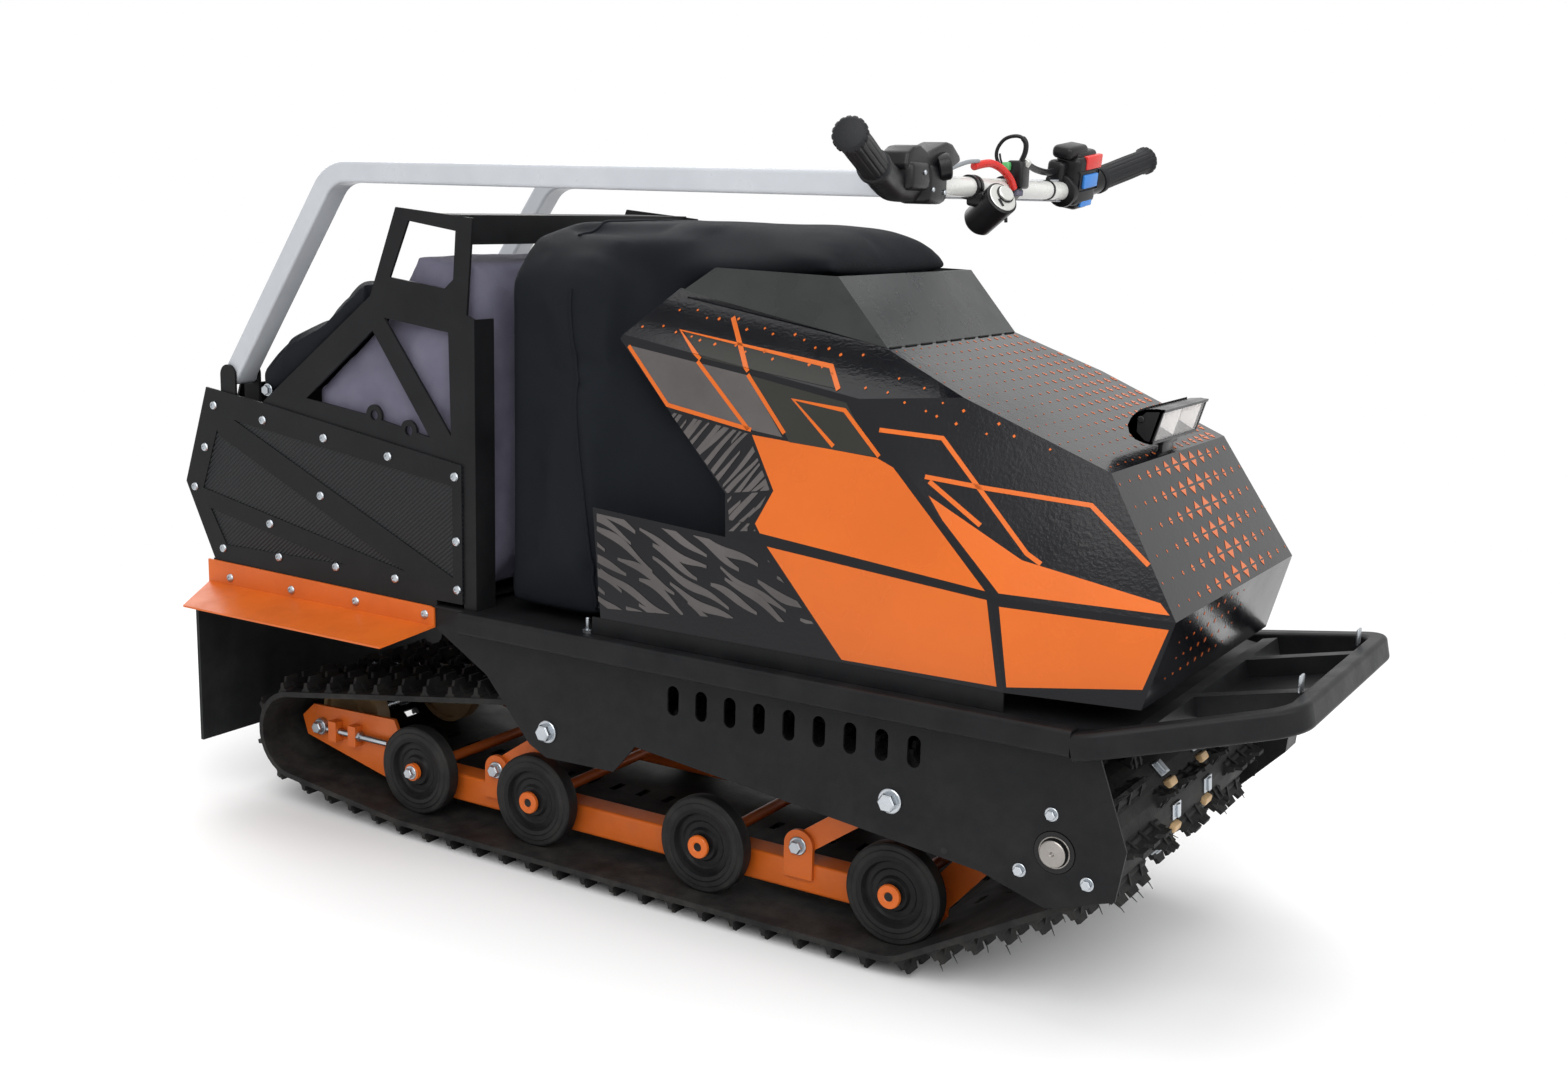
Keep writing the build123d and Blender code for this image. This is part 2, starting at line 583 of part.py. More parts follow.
WALL_SKEW = 3.5
with BuildPart() as box_rear_wall:
    with BuildSketch(Plane.XZ):
        Polygon(*BOX_OUTLINE[:3], *[(x + WALL_SKEW, z) for x, z in reversed(BOX_OUTLINE[:3])], align=None)
    extrude(amount=INNER_HALF - SEAT, both=True)
    for name, side in SIDES:
        with Locations((BOX_OUTLINE[0][0], side * (WALL_NOTCH_Y + 50), WALL_NOTCH_Z)):
            Box(100, 100, 100, align=(Align.CENTER, Align.CENTER, Align.MIN), mode=Mode.SUBTRACT)
save(box_rear_wall.part, "box_rear_wall")
FLOOR_REAR = BOX_OUTLINE[2][0] + WALL_SKEW
with BuildPart() as box_floor:
    with BuildSketch(Plane.XY.offset(BOX_FLOOR_Z)):
        with Locations(((FLOOR_REAR + BOX_FRONT) / 2, 0)):
            Rectangle(BOX_FRONT - FLOOR_REAR, 2 * (INNER_HALF - SEAT))
    extrude(amount=BOX_T)
save(box_floor.part, "box_floor")

POST_TOP = BOX_FLOOR_Z + 398
# Arch frames: cut plates inside the box sides that rise to the arch, with their windows
ARCH_OUTLINE = (
    (-700.0, BOX_FLOOR_Z + 232),
    (-450.0, BOX_FLOOR_Z + 420),
    (-399.0, BOX_FLOOR_Z + 544),
    (-260.0, BOX_FLOOR_Z + 533),
    (-272.0, BOX_FLOOR_Z + 403),
    (POST_X, POST_TOP),
    (POST_X, DECK_Z + SEAT),
    (BOX_FRONT + SEAT, DECK_Z + SEAT),
    (BOX_FRONT + SEAT, BOX_FLOOR_Z + 174),
    (-700.0, BOX_FLOOR_Z + 214),
)
# Windows, as x and height above the box floor
ARCH_WINDOWS = (
    ((-376.0, 526.0), (-290.0, 515.0), (-295.0, 450.0), (-311.0, 437.0), (-412.0, 448.0)),
    ((-447.0, 372.0), (-582.0, 265.0), (-465.0, 252.0), (-341.0, 230.0)),
    ((-424.0, 391.0), (-305.0, 378.0), (-302.0, 235.0)),
)
# Strap eyes on the windows' lower edge, as x and height above the box floor
STRAP_EYES = (
    (-447.0, 252.0),
    (-381.0, 236.0),
)
EYE_TAB_R = 15.0
EYE_HOLE_R = 7.0
with BuildPart() as arch_frame:
    with BuildSketch(Plane.XZ.offset(INNER_HALF - SEAT - ARCH_T)):
        Polygon(*ARCH_OUTLINE, align=None)
        for window in ARCH_WINDOWS:
            Polygon(*[(x, BOX_FLOOR_Z + rise) for x, rise in window], align=None, mode=Mode.SUBTRACT)
        for x, rise in STRAP_EYES:
            with Locations((x, BOX_FLOOR_Z + rise)):
                Circle(EYE_TAB_R)
                Circle(EYE_HOLE_R, mode=Mode.SUBTRACT)
    extrude(amount=ARCH_T)
    with BuildSketch(Plane.XY.offset(DECK_Z + SEAT)):
        with Locations((POST_X - PLATE_T / 2, -(INNER_HALF - SEAT - POST_W / 2))):
            Rectangle(PLATE_T, POST_W)
    extrude(amount=POST_TOP - DECK_Z - SEAT)
mirror_pair(arch_frame, "arch_frame")
TOP_BAR_X = -330.0
TOP_BAR_L = 100.0
TOP_BAR_FLANGE = 38.0
TOP_BAR_HALF = INNER_HALF - SEAT - ARCH_T - SEAT
with BuildPart() as arch_top_bar:
    with Locations((TOP_BAR_X, 0, BOX_FLOOR_Z + 535)):
        Box(TOP_BAR_L, 2 * TOP_BAR_HALF, PLATE_T)
    with Locations((TOP_BAR_X + TOP_BAR_L / 2 - PLATE_T / 2, 0, BOX_FLOOR_Z + 535)):
        Box(PLATE_T, 2 * TOP_BAR_HALF, TOP_BAR_FLANGE, align=(Align.CENTER, Align.CENTER, Align.MAX))
save(arch_top_bar.part, "arch_top_bar")

# Cargo liner and cover: fabric bag inside the box and the pad that slopes over its rear
LINER_HALF = INNER_HALF - SEAT - ARCH_T - 4
LINER_FLOOR = BOX_FLOOR_Z + BOX_T + SEAT
LINER_REAR = -590.0
LINER_FRONT = POST_X - 7
with BuildPart() as cargo_liner:
    with BuildSketch(Plane.XZ):
        Polygon((LINER_REAR, LINER_FLOOR), (LINER_FRONT, LINER_FLOOR), (LINER_FRONT, BOX_FLOOR_Z + 484),
                (LINER_FRONT - 120, BOX_FLOOR_Z + 492), (LINER_REAR + 150, BOX_FLOOR_Z + 404),
                (LINER_REAR, BOX_FLOOR_Z + 286), align=None)
    extrude(amount=LINER_HALF, both=True)
save(cargo_liner.part, "cargo_liner")
# Outline of the sloping pad, as x and height above the box floor
PAD_OUTLINE = (
    (-692.0, 266.0),
    (-668.0, 256.5),
    (-450.0, 420.5),
    (-458.0, 456.0),
    (-560.0, 379.0),
    (-640.0, 339.0),
    (-690.0, 296.0),
)
with BuildPart() as cargo_cover:
    with BuildSketch(Plane.XZ):
        Polygon(*[(x, BOX_FLOOR_Z + rise) for x, rise in PAD_OUTLINE], align=None)
    extrude(amount=BODY_HALF + 3, both=True)
save(cargo_cover.part, "cargo_cover")

# Fenders: an orange strip on the rear frame with a skirt that slopes outwards
FENDER_REAR = FRAME_REAR - 9
FENDER_FRONT = DECK_REAR - 3
FENDER_Z = PLATE_TOP - 27
with BuildPart() as fender:
    with BuildSketch(Plane.XZ.offset(BODY_HALF + SEAT)):
        Polygon((FENDER_REAR, FENDER_Z - 3), (FENDER_FRONT, FENDER_Z - 3), (FENDER_FRONT, PLATE_TOP - 2),
                (FENDER_FRONT - 8, PLATE_TOP), (FENDER_REAR, BOX_FLOOR_Z - 2), align=None)
    extrude(amount=FENDER_T)
    skirt_slope = atan2(16, FENDER_TIP_Y - BODY_HALF - 3)
    skirt_plane = Plane(origin=(0, -BODY_HALF - SEAT - FENDER_T / 2, FENDER_Z), x_dir=(1, 0, 0),
                        z_dir=(0, -sin(skirt_slope), cos(skirt_slope)))
    with BuildSketch(skirt_plane):
        Polygon((FENDER_REAR, 0), (FENDER_FRONT, 0), (FENDER_FRONT - 21, BODY_HALF - FENDER_TIP_Y),
                (FENDER_REAR + 44, BODY_HALF - FENDER_TIP_Y), align=None)
    extrude(amount=-FENDER_T)
mirror_pair(fender, "fender")

# Mud flap: a rubber sheet behind the track, notched for the hitch
FLAP_TOP = PLATE_TOP - 4
FLAP_WIDE_TOP = PLATE_TOP - 51
FLAP_NOTCH_HALF = 45.0
FLAP_NOTCH_Z = PLATE_TOP - 31
with BuildPart() as mud_flap:
    with BuildSketch(Plane.YZ.offset(FRAME_REAR - SEAT - FLAP_T)):
        with Locations((0, (FLAP_LOW + FLAP_WIDE_TOP) / 2)):
            Rectangle(2 * FLAP_HALF, FLAP_WIDE_TOP - FLAP_LOW)
        with Locations((0, (FLAP_LOW + FLAP_TOP) / 2)):
            Rectangle(2 * BODY_HALF, FLAP_TOP - FLAP_LOW)
        with Locations((0, FLAP_NOTCH_Z + 50)):
            Rectangle(2 * FLAP_NOTCH_HALF, 100, mode=Mode.SUBTRACT)
    extrude(amount=FLAP_T)
save(mud_flap.part, "mud_flap")

# Suspension rails: square tubes with a raised tip, swing brackets and tail plates
TAIL_T = 6.0
# Outline of the tail plate, from the rail's rear end and centre line
TAIL_OUTLINE = (
    (25.0, -6.0),
    (0.0, -12.0),
    (-170.0, 27.0),
    (-180.0, 57.0),
    (-155.0, 79.0),
    (17.0, 84.0),
    (35.0, 49.0),
)
ADJUSTER_Y = RAIL_Y + RAIL_W / 2 + TAIL_T
ADJUSTER_BLOCK = 16.0
ADJUSTER_XS = (IDLER_X + 34, IDLER_X + 76)
STUD_R = 5.0
STUD_L = 128.0
with BuildPart() as rail:
    with BuildSketch(Plane.YZ.offset(RAIL_REAR)):
        with Locations((-RAIL_Y, RAIL_Z)):
            RectangleRounded(RAIL_W, RAIL_H, RAIL_CORNER_R)
            Rectangle(RAIL_W - 2 * RAIL_WALL, RAIL_H - 2 * RAIL_WALL, mode=Mode.SUBTRACT)
    extrude(amount=RAIL_FRONT - RAIL_REAR)
    with BuildSketch(Plane.XZ.offset(RAIL_Y - RAIL_W / 2)):
        Polygon((RAIL_FRONT - 30, RAIL_Z + 18), (RAIL_FRONT, RAIL_Z - 10), (RAIL_FRONT + 75, RAIL_Z + 76),
                (RAIL_FRONT + 30, RAIL_Z + 86), align=None)
    extrude(amount=BRACKET_T)
    for eye_x in (REAR_EYE_X, FRONT_EYE_X):
        with BuildSketch(Plane.XZ.offset(RAIL_Y + RAIL_W / 2)):
            with Locations((eye_x, EYE_Z)):
                Circle(22)
            with Locations((eye_x, (EYE_Z + RAIL_Z) / 2)):
                Rectangle(44, EYE_Z - RAIL_Z)
            with Locations((eye_x, EYE_Z)):
                Circle(AXLE_R + 0.3, mode=Mode.SUBTRACT)
        extrude(amount=BRACKET_T)
    with BuildSketch(Plane.XZ.offset(RAIL_Y + RAIL_W / 2)):
        Polygon(*[(RAIL_REAR + ahead, RAIL_Z + rise) for ahead, rise in TAIL_OUTLINE], align=None)
        with Locations((IDLER_X, IDLER_Z)):
            Circle(AXLE_R + 0.3, mode=Mode.SUBTRACT)
    extrude(amount=TAIL_T)
    for x in ADJUSTER_XS:
        with Locations((x, -ADJUSTER_Y, IDLER_Z)):
            Box(ADJUSTER_BLOCK, ADJUSTER_BLOCK, 2 * ADJUSTER_BLOCK,
                align=(Align.CENTER, Align.MAX, Align.CENTER))
    with BuildSketch(Plane.YZ.offset(RAIL_REAR)):
        with Locations((-ADJUSTER_Y - ADJUSTER_BLOCK / 2, IDLER_Z)):
            Circle(STUD_R + PIN_PLAY)
    extrude(amount=-RAIL_FRONT, mode=Mode.SUBTRACT)
    with BuildSketch(Plane.XZ):
        with Locations(*[(x, ROLLER_Z) for x in ROLLER_XS]):
            Circle(AXLE_R + PIN_PLAY)
    extrude(amount=BODY_HALF, mode=Mode.SUBTRACT)
mirror_pair(rail, "rail")

# Track adjusters: a stud with its head and nut through the tail plate's blocks
with BuildPart() as adjuster:
    with BuildSketch(Plane.YZ.offset(ADJUSTER_XS[0] - ADJUSTER_BLOCK)):
        with Locations((-ADJUSTER_Y - ADJUSTER_BLOCK / 2, IDLER_Z)):
            Circle(STUD_R)
    extrude(amount=STUD_L)
    with BuildSketch(Plane.YZ.offset(ADJUSTER_XS[1] + ADJUSTER_BLOCK / 2 + SEAT)):
        with Locations((-ADJUSTER_Y - ADJUSTER_BLOCK / 2, IDLER_Z)):
            RegularPolygon(STUD_R + 3, 6)
    extrude(amount=STUD_R)
mirror_pair(adjuster, "track_adjuster")

# Swing arms: from the rail eyes forward and up to the side plates' bolts
# Each pair: eye x, bolt x, bolt z
ARM_PAIRS = (
    (REAR_EYE_X, REAR_BOLT_X, REAR_BOLT_Z),
    (FRONT_EYE_X, FRONT_BOLT_X, FRONT_BOLT_Z),
)
ARM_TUBE_R = 17.0
ARM_IN = RAIL_Y + RAIL_W / 2 - SEAT - ARM_T
with BuildPart() as suspension_arms:
    for eye_x, bolt_x, bolt_z in ARM_PAIRS:
        for name, side in SIDES:
            span = hypot(bolt_x - eye_x, bolt_z - EYE_Z)
            lean = degrees(atan2(bolt_z - EYE_Z, bolt_x - eye_x))
            with BuildSketch(Plane.XZ.offset(-side * (ARM_IN + ARM_T / 2) - ARM_T / 2)):
                with Locations(Location(((eye_x + bolt_x) / 2, (EYE_Z + bolt_z) / 2), lean)):
                    SlotCenterToCenter(span, ARM_W)
            extrude(amount=ARM_T)
        with BuildSketch(Plane.XZ):
            with Locations((bolt_x, bolt_z)):
                Circle(ARM_TUBE_R)
        extrude(amount=INNER_HALF - SEAT, both=True)
        with BuildSketch(Plane.XZ):
            with Locations((eye_x, EYE_Z)):
                Circle(AXLE_R)
        extrude(amount=RAIL_Y + RAIL_W / 2 + BRACKET_T, both=True)
save(suspension_arms.part, "suspension_arms")

# Rollers: rubber tyres on steel hubs, and the axles across the rails
HUB_R = ROLLER_R - ROLLER_RIM
BOSS_R = 20.0
RIM_T = 7.0
WEB_T = 9.0
TYRE_RINGS = ((ROLLER_R, HUB_R, ROLLER_W),)
HUB_RINGS = (
    (HUB_R, HUB_R - RIM_T, ROLLER_W),
    (HUB_R, AXLE_R, WEB_T),
    (BOSS_R, AXLE_R, ROLLER_W - 4),
)
IDLER_RINGS = (
    (IDLER_R, IDLER_R - RIM_T, ROLLER_W),
    (IDLER_R, AXLE_R, WEB_T),
    (BOSS_R, AXLE_R, ROLLER_W - 4),
)
# Each wheel set: node, x of every axle, z, distance from the centre, and its rings as outer
# radius, inner radius, width
WHEEL_SETS = (
    ("roller_tyres", ROLLER_XS, ROLLER_Z, ROLLER_Y, TYRE_RINGS),
    ("roller_hubs", ROLLER_XS, ROLLER_Z, ROLLER_Y, HUB_RINGS),
    ("idler_wheels", (IDLER_X,), IDLER_Z, IDLER_Y, IDLER_RINGS),
)
for node, xs, z, wheel_y, rings in WHEEL_SETS:
    with BuildPart() as wheels:
        for name, side in SIDES:
            for outer, inner, width in rings:
                with BuildSketch(Plane.XZ.offset(-side * wheel_y - width / 2)):
                    for x in xs:
                        with Locations((x, z)):
                            Circle(outer)
                            Circle(inner, mode=Mode.SUBTRACT)
                extrude(amount=width)
    save(wheels.part, node)
COLLAR_R = 13.0
COLLAR_T = 7.0
BOLT_DEEP = 20.0
AXLE_HALF = ROLLER_Y + ROLLER_W / 2 + COLLAR_T + SEAT
IDLER_HALF = ADJUSTER_Y + COLLAR_T + SEAT
# Each axle set: node, (x, z) of every axle, half its length
AXLE_SETS = (
    ("roller_axles", [(x, ROLLER_Z) for x in ROLLER_XS], AXLE_HALF),
    ("idler_axle", [(IDLER_X, IDLER_Z)], IDLER_HALF),
)
for node, spots, half in AXLE_SETS:
    with BuildPart() as axles:
        with BuildSketch(Plane.XZ):
            with Locations(*spots):
                Circle(AXLE_R)
        extrude(amount=half, both=True)
        for name, side in SIDES:
            with BuildSketch(Plane.XZ.offset(-side * (half - COLLAR_T / 2) - COLLAR_T / 2)):
                with Locations(*spots):
                    Circle(COLLAR_R)
            extrude(amount=COLLAR_T)
            with BuildSketch(Plane.XZ.offset(-side * (half - BOLT_DEEP / 2) - BOLT_DEEP / 2)):
                with Locations(*spots):
                    Circle(AXLE_R - PLATE_T)
            extrude(amount=BOLT_DEEP, mode=Mode.SUBTRACT)
    save(axles.part, node)

# Drive: a shaft with toothed sprockets, in a flange bearing inside each plate
SPROCKET_YS = (-165.0, -60.0, 60.0, 165.0)
SPROCKET_W = 22.0
TOOTH_COUNT = 8
TOOTH_R = 7.0
FLANGE_R = 42.0
FLANGE_T = 8.0
BEARING_BOSS_R = BEARING_R - 1.5
SHAFT_PROUD = 6.0
with BuildPart() as drive_shaft:
    with BuildSketch(Plane.XZ.offset(-BODY_HALF)):
        with Locations((DRIVE_X, DRIVE_Z)):
            Circle(SHAFT_R)
    extrude(amount=2 * BODY_HALF + SHAFT_PROUD)
save(drive_shaft.part, "drive_shaft")
with BuildPart() as drive_sprockets:
    for y in SPROCKET_YS:
        with BuildSketch(Plane.XZ.offset(-y - SPROCKET_W / 2)):
            with Locations((DRIVE_X, DRIVE_Z)):
                Circle(DRIVE_R - TOOTH_R)
                with PolarLocations(DRIVE_R - TOOTH_R, TOOTH_COUNT):
                    Circle(TOOTH_R - 0.3)
                Circle(SHAFT_R, mode=Mode.SUBTRACT)
        extrude(amount=SPROCKET_W)
save(drive_sprockets.part, "drive_sprockets")
# Rings of a bearing, as radius, inner and outer distance from the centre
BEARING_RINGS = (
    (FLANGE_R, INNER_HALF - SEAT - FLANGE_T, INNER_HALF - SEAT),
    (BEARING_BOSS_R, INNER_HALF - SEAT, BODY_HALF),
)
with BuildPart() as drive_bearings:
    for name, side in SIDES:
        for radius, inner_y, outer_y in BEARING_RINGS:
            with BuildSketch(Plane.XZ.offset(-side * (inner_y + outer_y) / 2 - (outer_y - inner_y) / 2)):
                with Locations((DRIVE_X, DRIVE_Z)):
                    Circle(radius)
                    Circle(SHAFT_R, mode=Mode.SUBTRACT)
            extrude(amount=outer_y - inner_y)
save(drive_bearings.part, "drive_bearings")

# Chain case: a sheet box outside the left plate, from the shaft up to the engine's output
CASE_T = 50.0
# Outline of the case, from the drive shaft
CASE_OUTLINE = (
    (117.0, 22.0),
    (115.0, -1.0),
    (52.0, -66.0),
    (-28.0, -66.0),
    (-58.0, -26.0),
    (-58.0, 119.0),
    (82.0, 119.0),
)
with BuildPart() as chain_case:
    with BuildSketch(Plane.XZ.offset(-BODY_HALF - SEAT - CASE_T)):
        Polygon(*[(DRIVE_X + ahead, DRIVE_Z + rise) for ahead, rise in CASE_OUTLINE], align=None)
    extrude(amount=CASE_T)
save(chain_case.part, "chain_case")

# Pivot brackets: a base with two ears and a pin, in each rear corner of the box
EAR_IN = TUBE_W / 2 + EAR_PLAY
EAR_OUT_T = INNER_HALF - SEAT - TUBE_Y - EAR_IN
EAR_R = 16.0
BRACKET_Z = 626.0
with BuildPart() as pivot_bracket:
    for start, thick in ((TUBE_Y + EAR_IN, EAR_OUT_T), (TUBE_Y - EAR_IN - EAR_T, EAR_T)):
        with BuildSketch(Plane.XZ.offset(start)):
            with Locations((PIVOT_X, PIVOT_Z)):
                Circle(EAR_R)
            with Locations((PIVOT_X, (PIVOT_Z + BRACKET_Z) / 2)):
                Rectangle(2 * EAR_R, PIVOT_Z - BRACKET_Z)
        extrude(amount=thick)
    with Locations((PIVOT_X, -(TUBE_Y - EAR_IN - EAR_T), BRACKET_Z)):
        Box(2 * EAR_R, 2 * EAR_IN + EAR_T + EAR_OUT_T, 6, align=(Align.CENTER, Align.MAX, Align.MAX))
    with BuildSketch(Plane.XZ.offset(TUBE_Y - EAR_IN - EAR_T)):
        with Locations((PIVOT_X, PIVOT_Z)):
            Circle(PIN_R)
    extrude(amount=2 * EAR_IN + EAR_T + EAR_OUT_T)
mirror_pair(pivot_bracket, "pivot_bracket")

# Steering tubes: a bent leg each side, from its pivot up and forward to the handlebar
with BuildPart() as steering_tube:
    with BuildLine(Plane.XZ.offset(TUBE_Y)) as tube_line:
        FilletPolyline((PIVOT_X, PIVOT_Z), (TUBE_BEND_X, TUBE_TOP_Z), (BAR_X, TUBE_TOP_Z),
                       radius=TUBE_BEND_R)
    with BuildSketch(Plane(origin=tube_line.line @ 0, x_dir=(0, 1, 0), z_dir=tube_line.line % 0)):
        RectangleRounded(TUBE_W, TUBE_H, TUBE_CORNER_R)
        Rectangle(TUBE_W - 2 * TUBE_WALL, TUBE_H - 2 * TUBE_WALL, mode=Mode.SUBTRACT)
    sweep()
    with BuildSketch(Plane.XZ.offset(TUBE_Y - TUBE_W / 2)):
        with Locations((PIVOT_X, PIVOT_Z)):
            Circle(TUBE_H / 2)
    extrude(amount=TUBE_W)
    with BuildSketch(Plane.XZ.offset(TUBE_Y - TUBE_W / 2)):
        with Locations((PIVOT_X, PIVOT_Z)):
            Circle(PIN_R + PIN_PLAY)
    extrude(amount=TUBE_W, mode=Mode.SUBTRACT)
    with BuildSketch(Plane.XZ.offset(TUBE_Y - TUBE_W)):
        with Locations((BAR_X, BAR_Z)):
            Circle(BAR_R + SEAT)
        with Locations((BAR_X + TUBE_H, BAR_Z)):
            Rectangle(2 * TUBE_H, 2 * TUBE_H)
    extrude(amount=2 * TUBE_W, mode=Mode.SUBTRACT)
mirror_pair(steering_tube, "steering_tube")

# Handlebar: a round bar whose ends rise to the grips
bar_plane = Plane(origin=(BAR_X, 0, BAR_Z), x_dir=(0, 1, 0),
                  z_dir=Vector(GRIP_Z - BAR_Z, 0, BAR_X - GRIP_X).normalized())
GRIP_CAP = 6.0
BAR_END_Y = GRIP_Y - GRIP_CAP
BAR_END_RISE = hypot(GRIP_X - BAR_X, GRIP_Z - BAR_Z) * (BAR_END_Y - BAR_BEND_Y) / (GRIP_Y - BAR_BEND_Y)
with BuildPart() as handlebar:
    with BuildLine(bar_plane) as bar_line:
        FilletPolyline((-BAR_END_Y, BAR_END_RISE), (-BAR_BEND_Y, 0), (BAR_BEND_Y, 0),
                       (BAR_END_Y, BAR_END_RISE), radius=30)
    with BuildSketch(Plane(origin=bar_line.line @ 0, z_dir=bar_line.line % 0)):
        Circle(BAR_R)
    sweep()
save(handlebar.part, "handlebar")

# Grips: rubber sleeves on the bar's ends
with BuildPart() as grips:
    for name, side in SIDES:
        tip = Vector(GRIP_X, side * GRIP_Y, GRIP_Z)
        inward = (Vector(BAR_X, side * BAR_BEND_Y, BAR_Z) - tip).normalized()
        with BuildSketch(Plane(origin=tip, z_dir=inward)):
            Circle(GRIP_R)
        extrude(amount=GRIP_L)
        with BuildSketch(Plane(origin=tip + inward * GRIP_CAP / 2, z_dir=inward)):
            Circle(BAR_R + PIN_PLAY)
        extrude(amount=GRIP_L, mode=Mode.SUBTRACT)
save(grips.part, "grips")


# Controls: clamped housings on the bar
CONTROL_PLAY = 0.05
RAISED = Vector(GRIP_X - BAR_X, GRIP_Y - BAR_BEND_Y, GRIP_Z - BAR_Z)
POD_START = 8.0
POD_L = 42.0
POD_H = 56.0
POD_D = 46.0
along = RAISED.normalized()
with BuildPart() as switch_pod:
    with BuildSketch(Plane(origin=Vector(BAR_X, BAR_BEND_Y, BAR_Z) + along * POD_START,
                           x_dir=(along.Z, 0, -along.X), z_dir=along)):
        RectangleRounded(POD_D, POD_H, 8)
        Circle(BAR_R + CONTROL_PLAY, mode=Mode.SUBTRACT)
    extrude(amount=POD_L)
save(switch_pod.part, "switch_pod")
# Throttle: a housing on the bar inside the right tube, with a shelf over the tube's end
THROTTLE_Y = TUBE_Y - TUBE_W / 2 - 6
THROTTLE_L = 66.0
SHELF_T = 16.0
SHELF_Z = TUBE_TOP_Z + TUBE_H / 2 + 3 + SHELF_T / 2
with BuildPart() as throttle_control:
    with BuildSketch(Plane.XZ.offset(THROTTLE_Y - THROTTLE_L)):
        with Locations((BAR_X + 4, BAR_Z + 6)):
            RectangleRounded(50, 54, 10)
    extrude(amount=THROTTLE_L)
    with BuildSketch(Plane.XZ.offset(THROTTLE_Y - 10)):
        with Locations((BAR_X + 6, SHELF_Z)):
            RectangleRounded(42, SHELF_T, 5)
    extrude(amount=TUBE_W + 26)
    with BuildSketch(Plane.XZ):
        with Locations((BAR_X, BAR_Z)):
            Circle(BAR_R + CONTROL_PLAY)
    extrude(amount=BODY_HALF, mode=Mode.SUBTRACT)
save(throttle_control.part, "throttle_control")
TETHER_Y = 60.0
TETHER_L = 26.0
TETHER_RISE = 14.0
with BuildPart() as tether_switch:
    with BuildSketch(Plane.XZ.offset(-TETHER_Y - TETHER_L / 2)):
        with Locations((BAR_X, BAR_Z + TETHER_RISE)):
            RectangleRounded(36, 44, 8)
        with Locations((BAR_X, BAR_Z)):
            Circle(BAR_R + CONTROL_PLAY, mode=Mode.SUBTRACT)
    extrude(amount=TETHER_L)
save(tether_switch.part, "tether_switch")

# Ignition switch: a drum that hangs below the bar from a clamp, its dial facing up
DRUM_R = 22.0
DRUM_L = 58.0
DRUM_Y = -44.0
CLAMP_T = 5.0
CLAMP_L = 24.0
DRUM_AXIS = Vector(-0.75, 0.35, -0.55).normalized()
DIAL = Vector(BAR_X + 42, DRUM_Y, BAR_Z - 12)
with BuildPart() as ignition_switch:
    with BuildSketch(Plane.XZ.offset(-DRUM_Y - CLAMP_L / 2)):
        with Locations((BAR_X, BAR_Z)):
            Circle(BAR_R + CLAMP_T)
    extrude(amount=CLAMP_L)
    with BuildSketch(Plane(origin=DIAL, z_dir=DRUM_AXIS)):
        Circle(DRUM_R)
    extrude(amount=DRUM_L)
    with BuildSketch(Plane.XZ.offset(-DRUM_Y - 2 * CLAMP_L)):
        with Locations((BAR_X, BAR_Z)):
            Circle(BAR_R + CONTROL_PLAY)
    extrude(amount=4 * CLAMP_L, mode=Mode.SUBTRACT)
save(ignition_switch.part, "ignition_switch")
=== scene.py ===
"""Looks of the tracked snow tug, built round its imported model.

Metres. +X is forward, +Y is left, +Z is up, and the origin is on the ground at the
machine's middle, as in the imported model. The steering frame is folded forward at rest.
"""
import json
import logging
import math
from bisect import bisect_right
from dataclasses import dataclass, field
from enum import Enum
from random import Random
from typing import Callable, Iterable, Mapping, Optional, Sequence

import bmesh
import bpy
from bmesh.types import BMesh, BMVert
from bpy.types import Material, Node, NodeSocket, NodeTree, Object
from mathutils import Matrix, Vector
from mathutils.bvhtree import BVHTree

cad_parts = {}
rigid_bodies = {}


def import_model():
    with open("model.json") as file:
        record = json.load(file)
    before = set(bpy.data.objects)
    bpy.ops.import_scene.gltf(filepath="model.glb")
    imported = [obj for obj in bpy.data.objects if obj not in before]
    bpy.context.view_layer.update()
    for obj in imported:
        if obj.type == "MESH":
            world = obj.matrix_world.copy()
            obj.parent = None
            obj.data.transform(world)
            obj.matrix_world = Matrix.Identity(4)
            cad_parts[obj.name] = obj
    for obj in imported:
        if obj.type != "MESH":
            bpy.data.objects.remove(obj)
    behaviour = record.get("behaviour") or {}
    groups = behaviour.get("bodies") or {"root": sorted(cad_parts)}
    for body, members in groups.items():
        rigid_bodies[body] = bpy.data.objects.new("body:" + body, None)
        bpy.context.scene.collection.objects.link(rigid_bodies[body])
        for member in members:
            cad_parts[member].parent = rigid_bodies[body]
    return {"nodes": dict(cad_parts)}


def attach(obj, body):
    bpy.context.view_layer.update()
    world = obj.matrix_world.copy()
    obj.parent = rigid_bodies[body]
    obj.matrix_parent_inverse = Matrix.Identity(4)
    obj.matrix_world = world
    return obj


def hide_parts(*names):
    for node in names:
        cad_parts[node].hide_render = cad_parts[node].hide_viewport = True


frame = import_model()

LOG = logging.getLogger("snow_tug")
MM = 0.001
CHASSIS = "chassis"
STEERING = "steering_frame"
SIDES = (("right", -1), ("left", 1))
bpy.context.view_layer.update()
LEFT = Vector((0, 1, 0))
UP = Vector((0, 0, 1))

Point = tuple[float, float, float]
Flat = tuple[float, float]
Colour = tuple[float, float, float]
Feed = object  # a socket's plain value, or the socket that it is joined to


def mm(x: float, y: float, z: float) -> Vector:
    """A place in metres from millimetres."""
    return Vector((x, y, z)) * MM


def unit(vector: Vector) -> Vector:
    """The vector at length 1."""
    return vector.normalized()


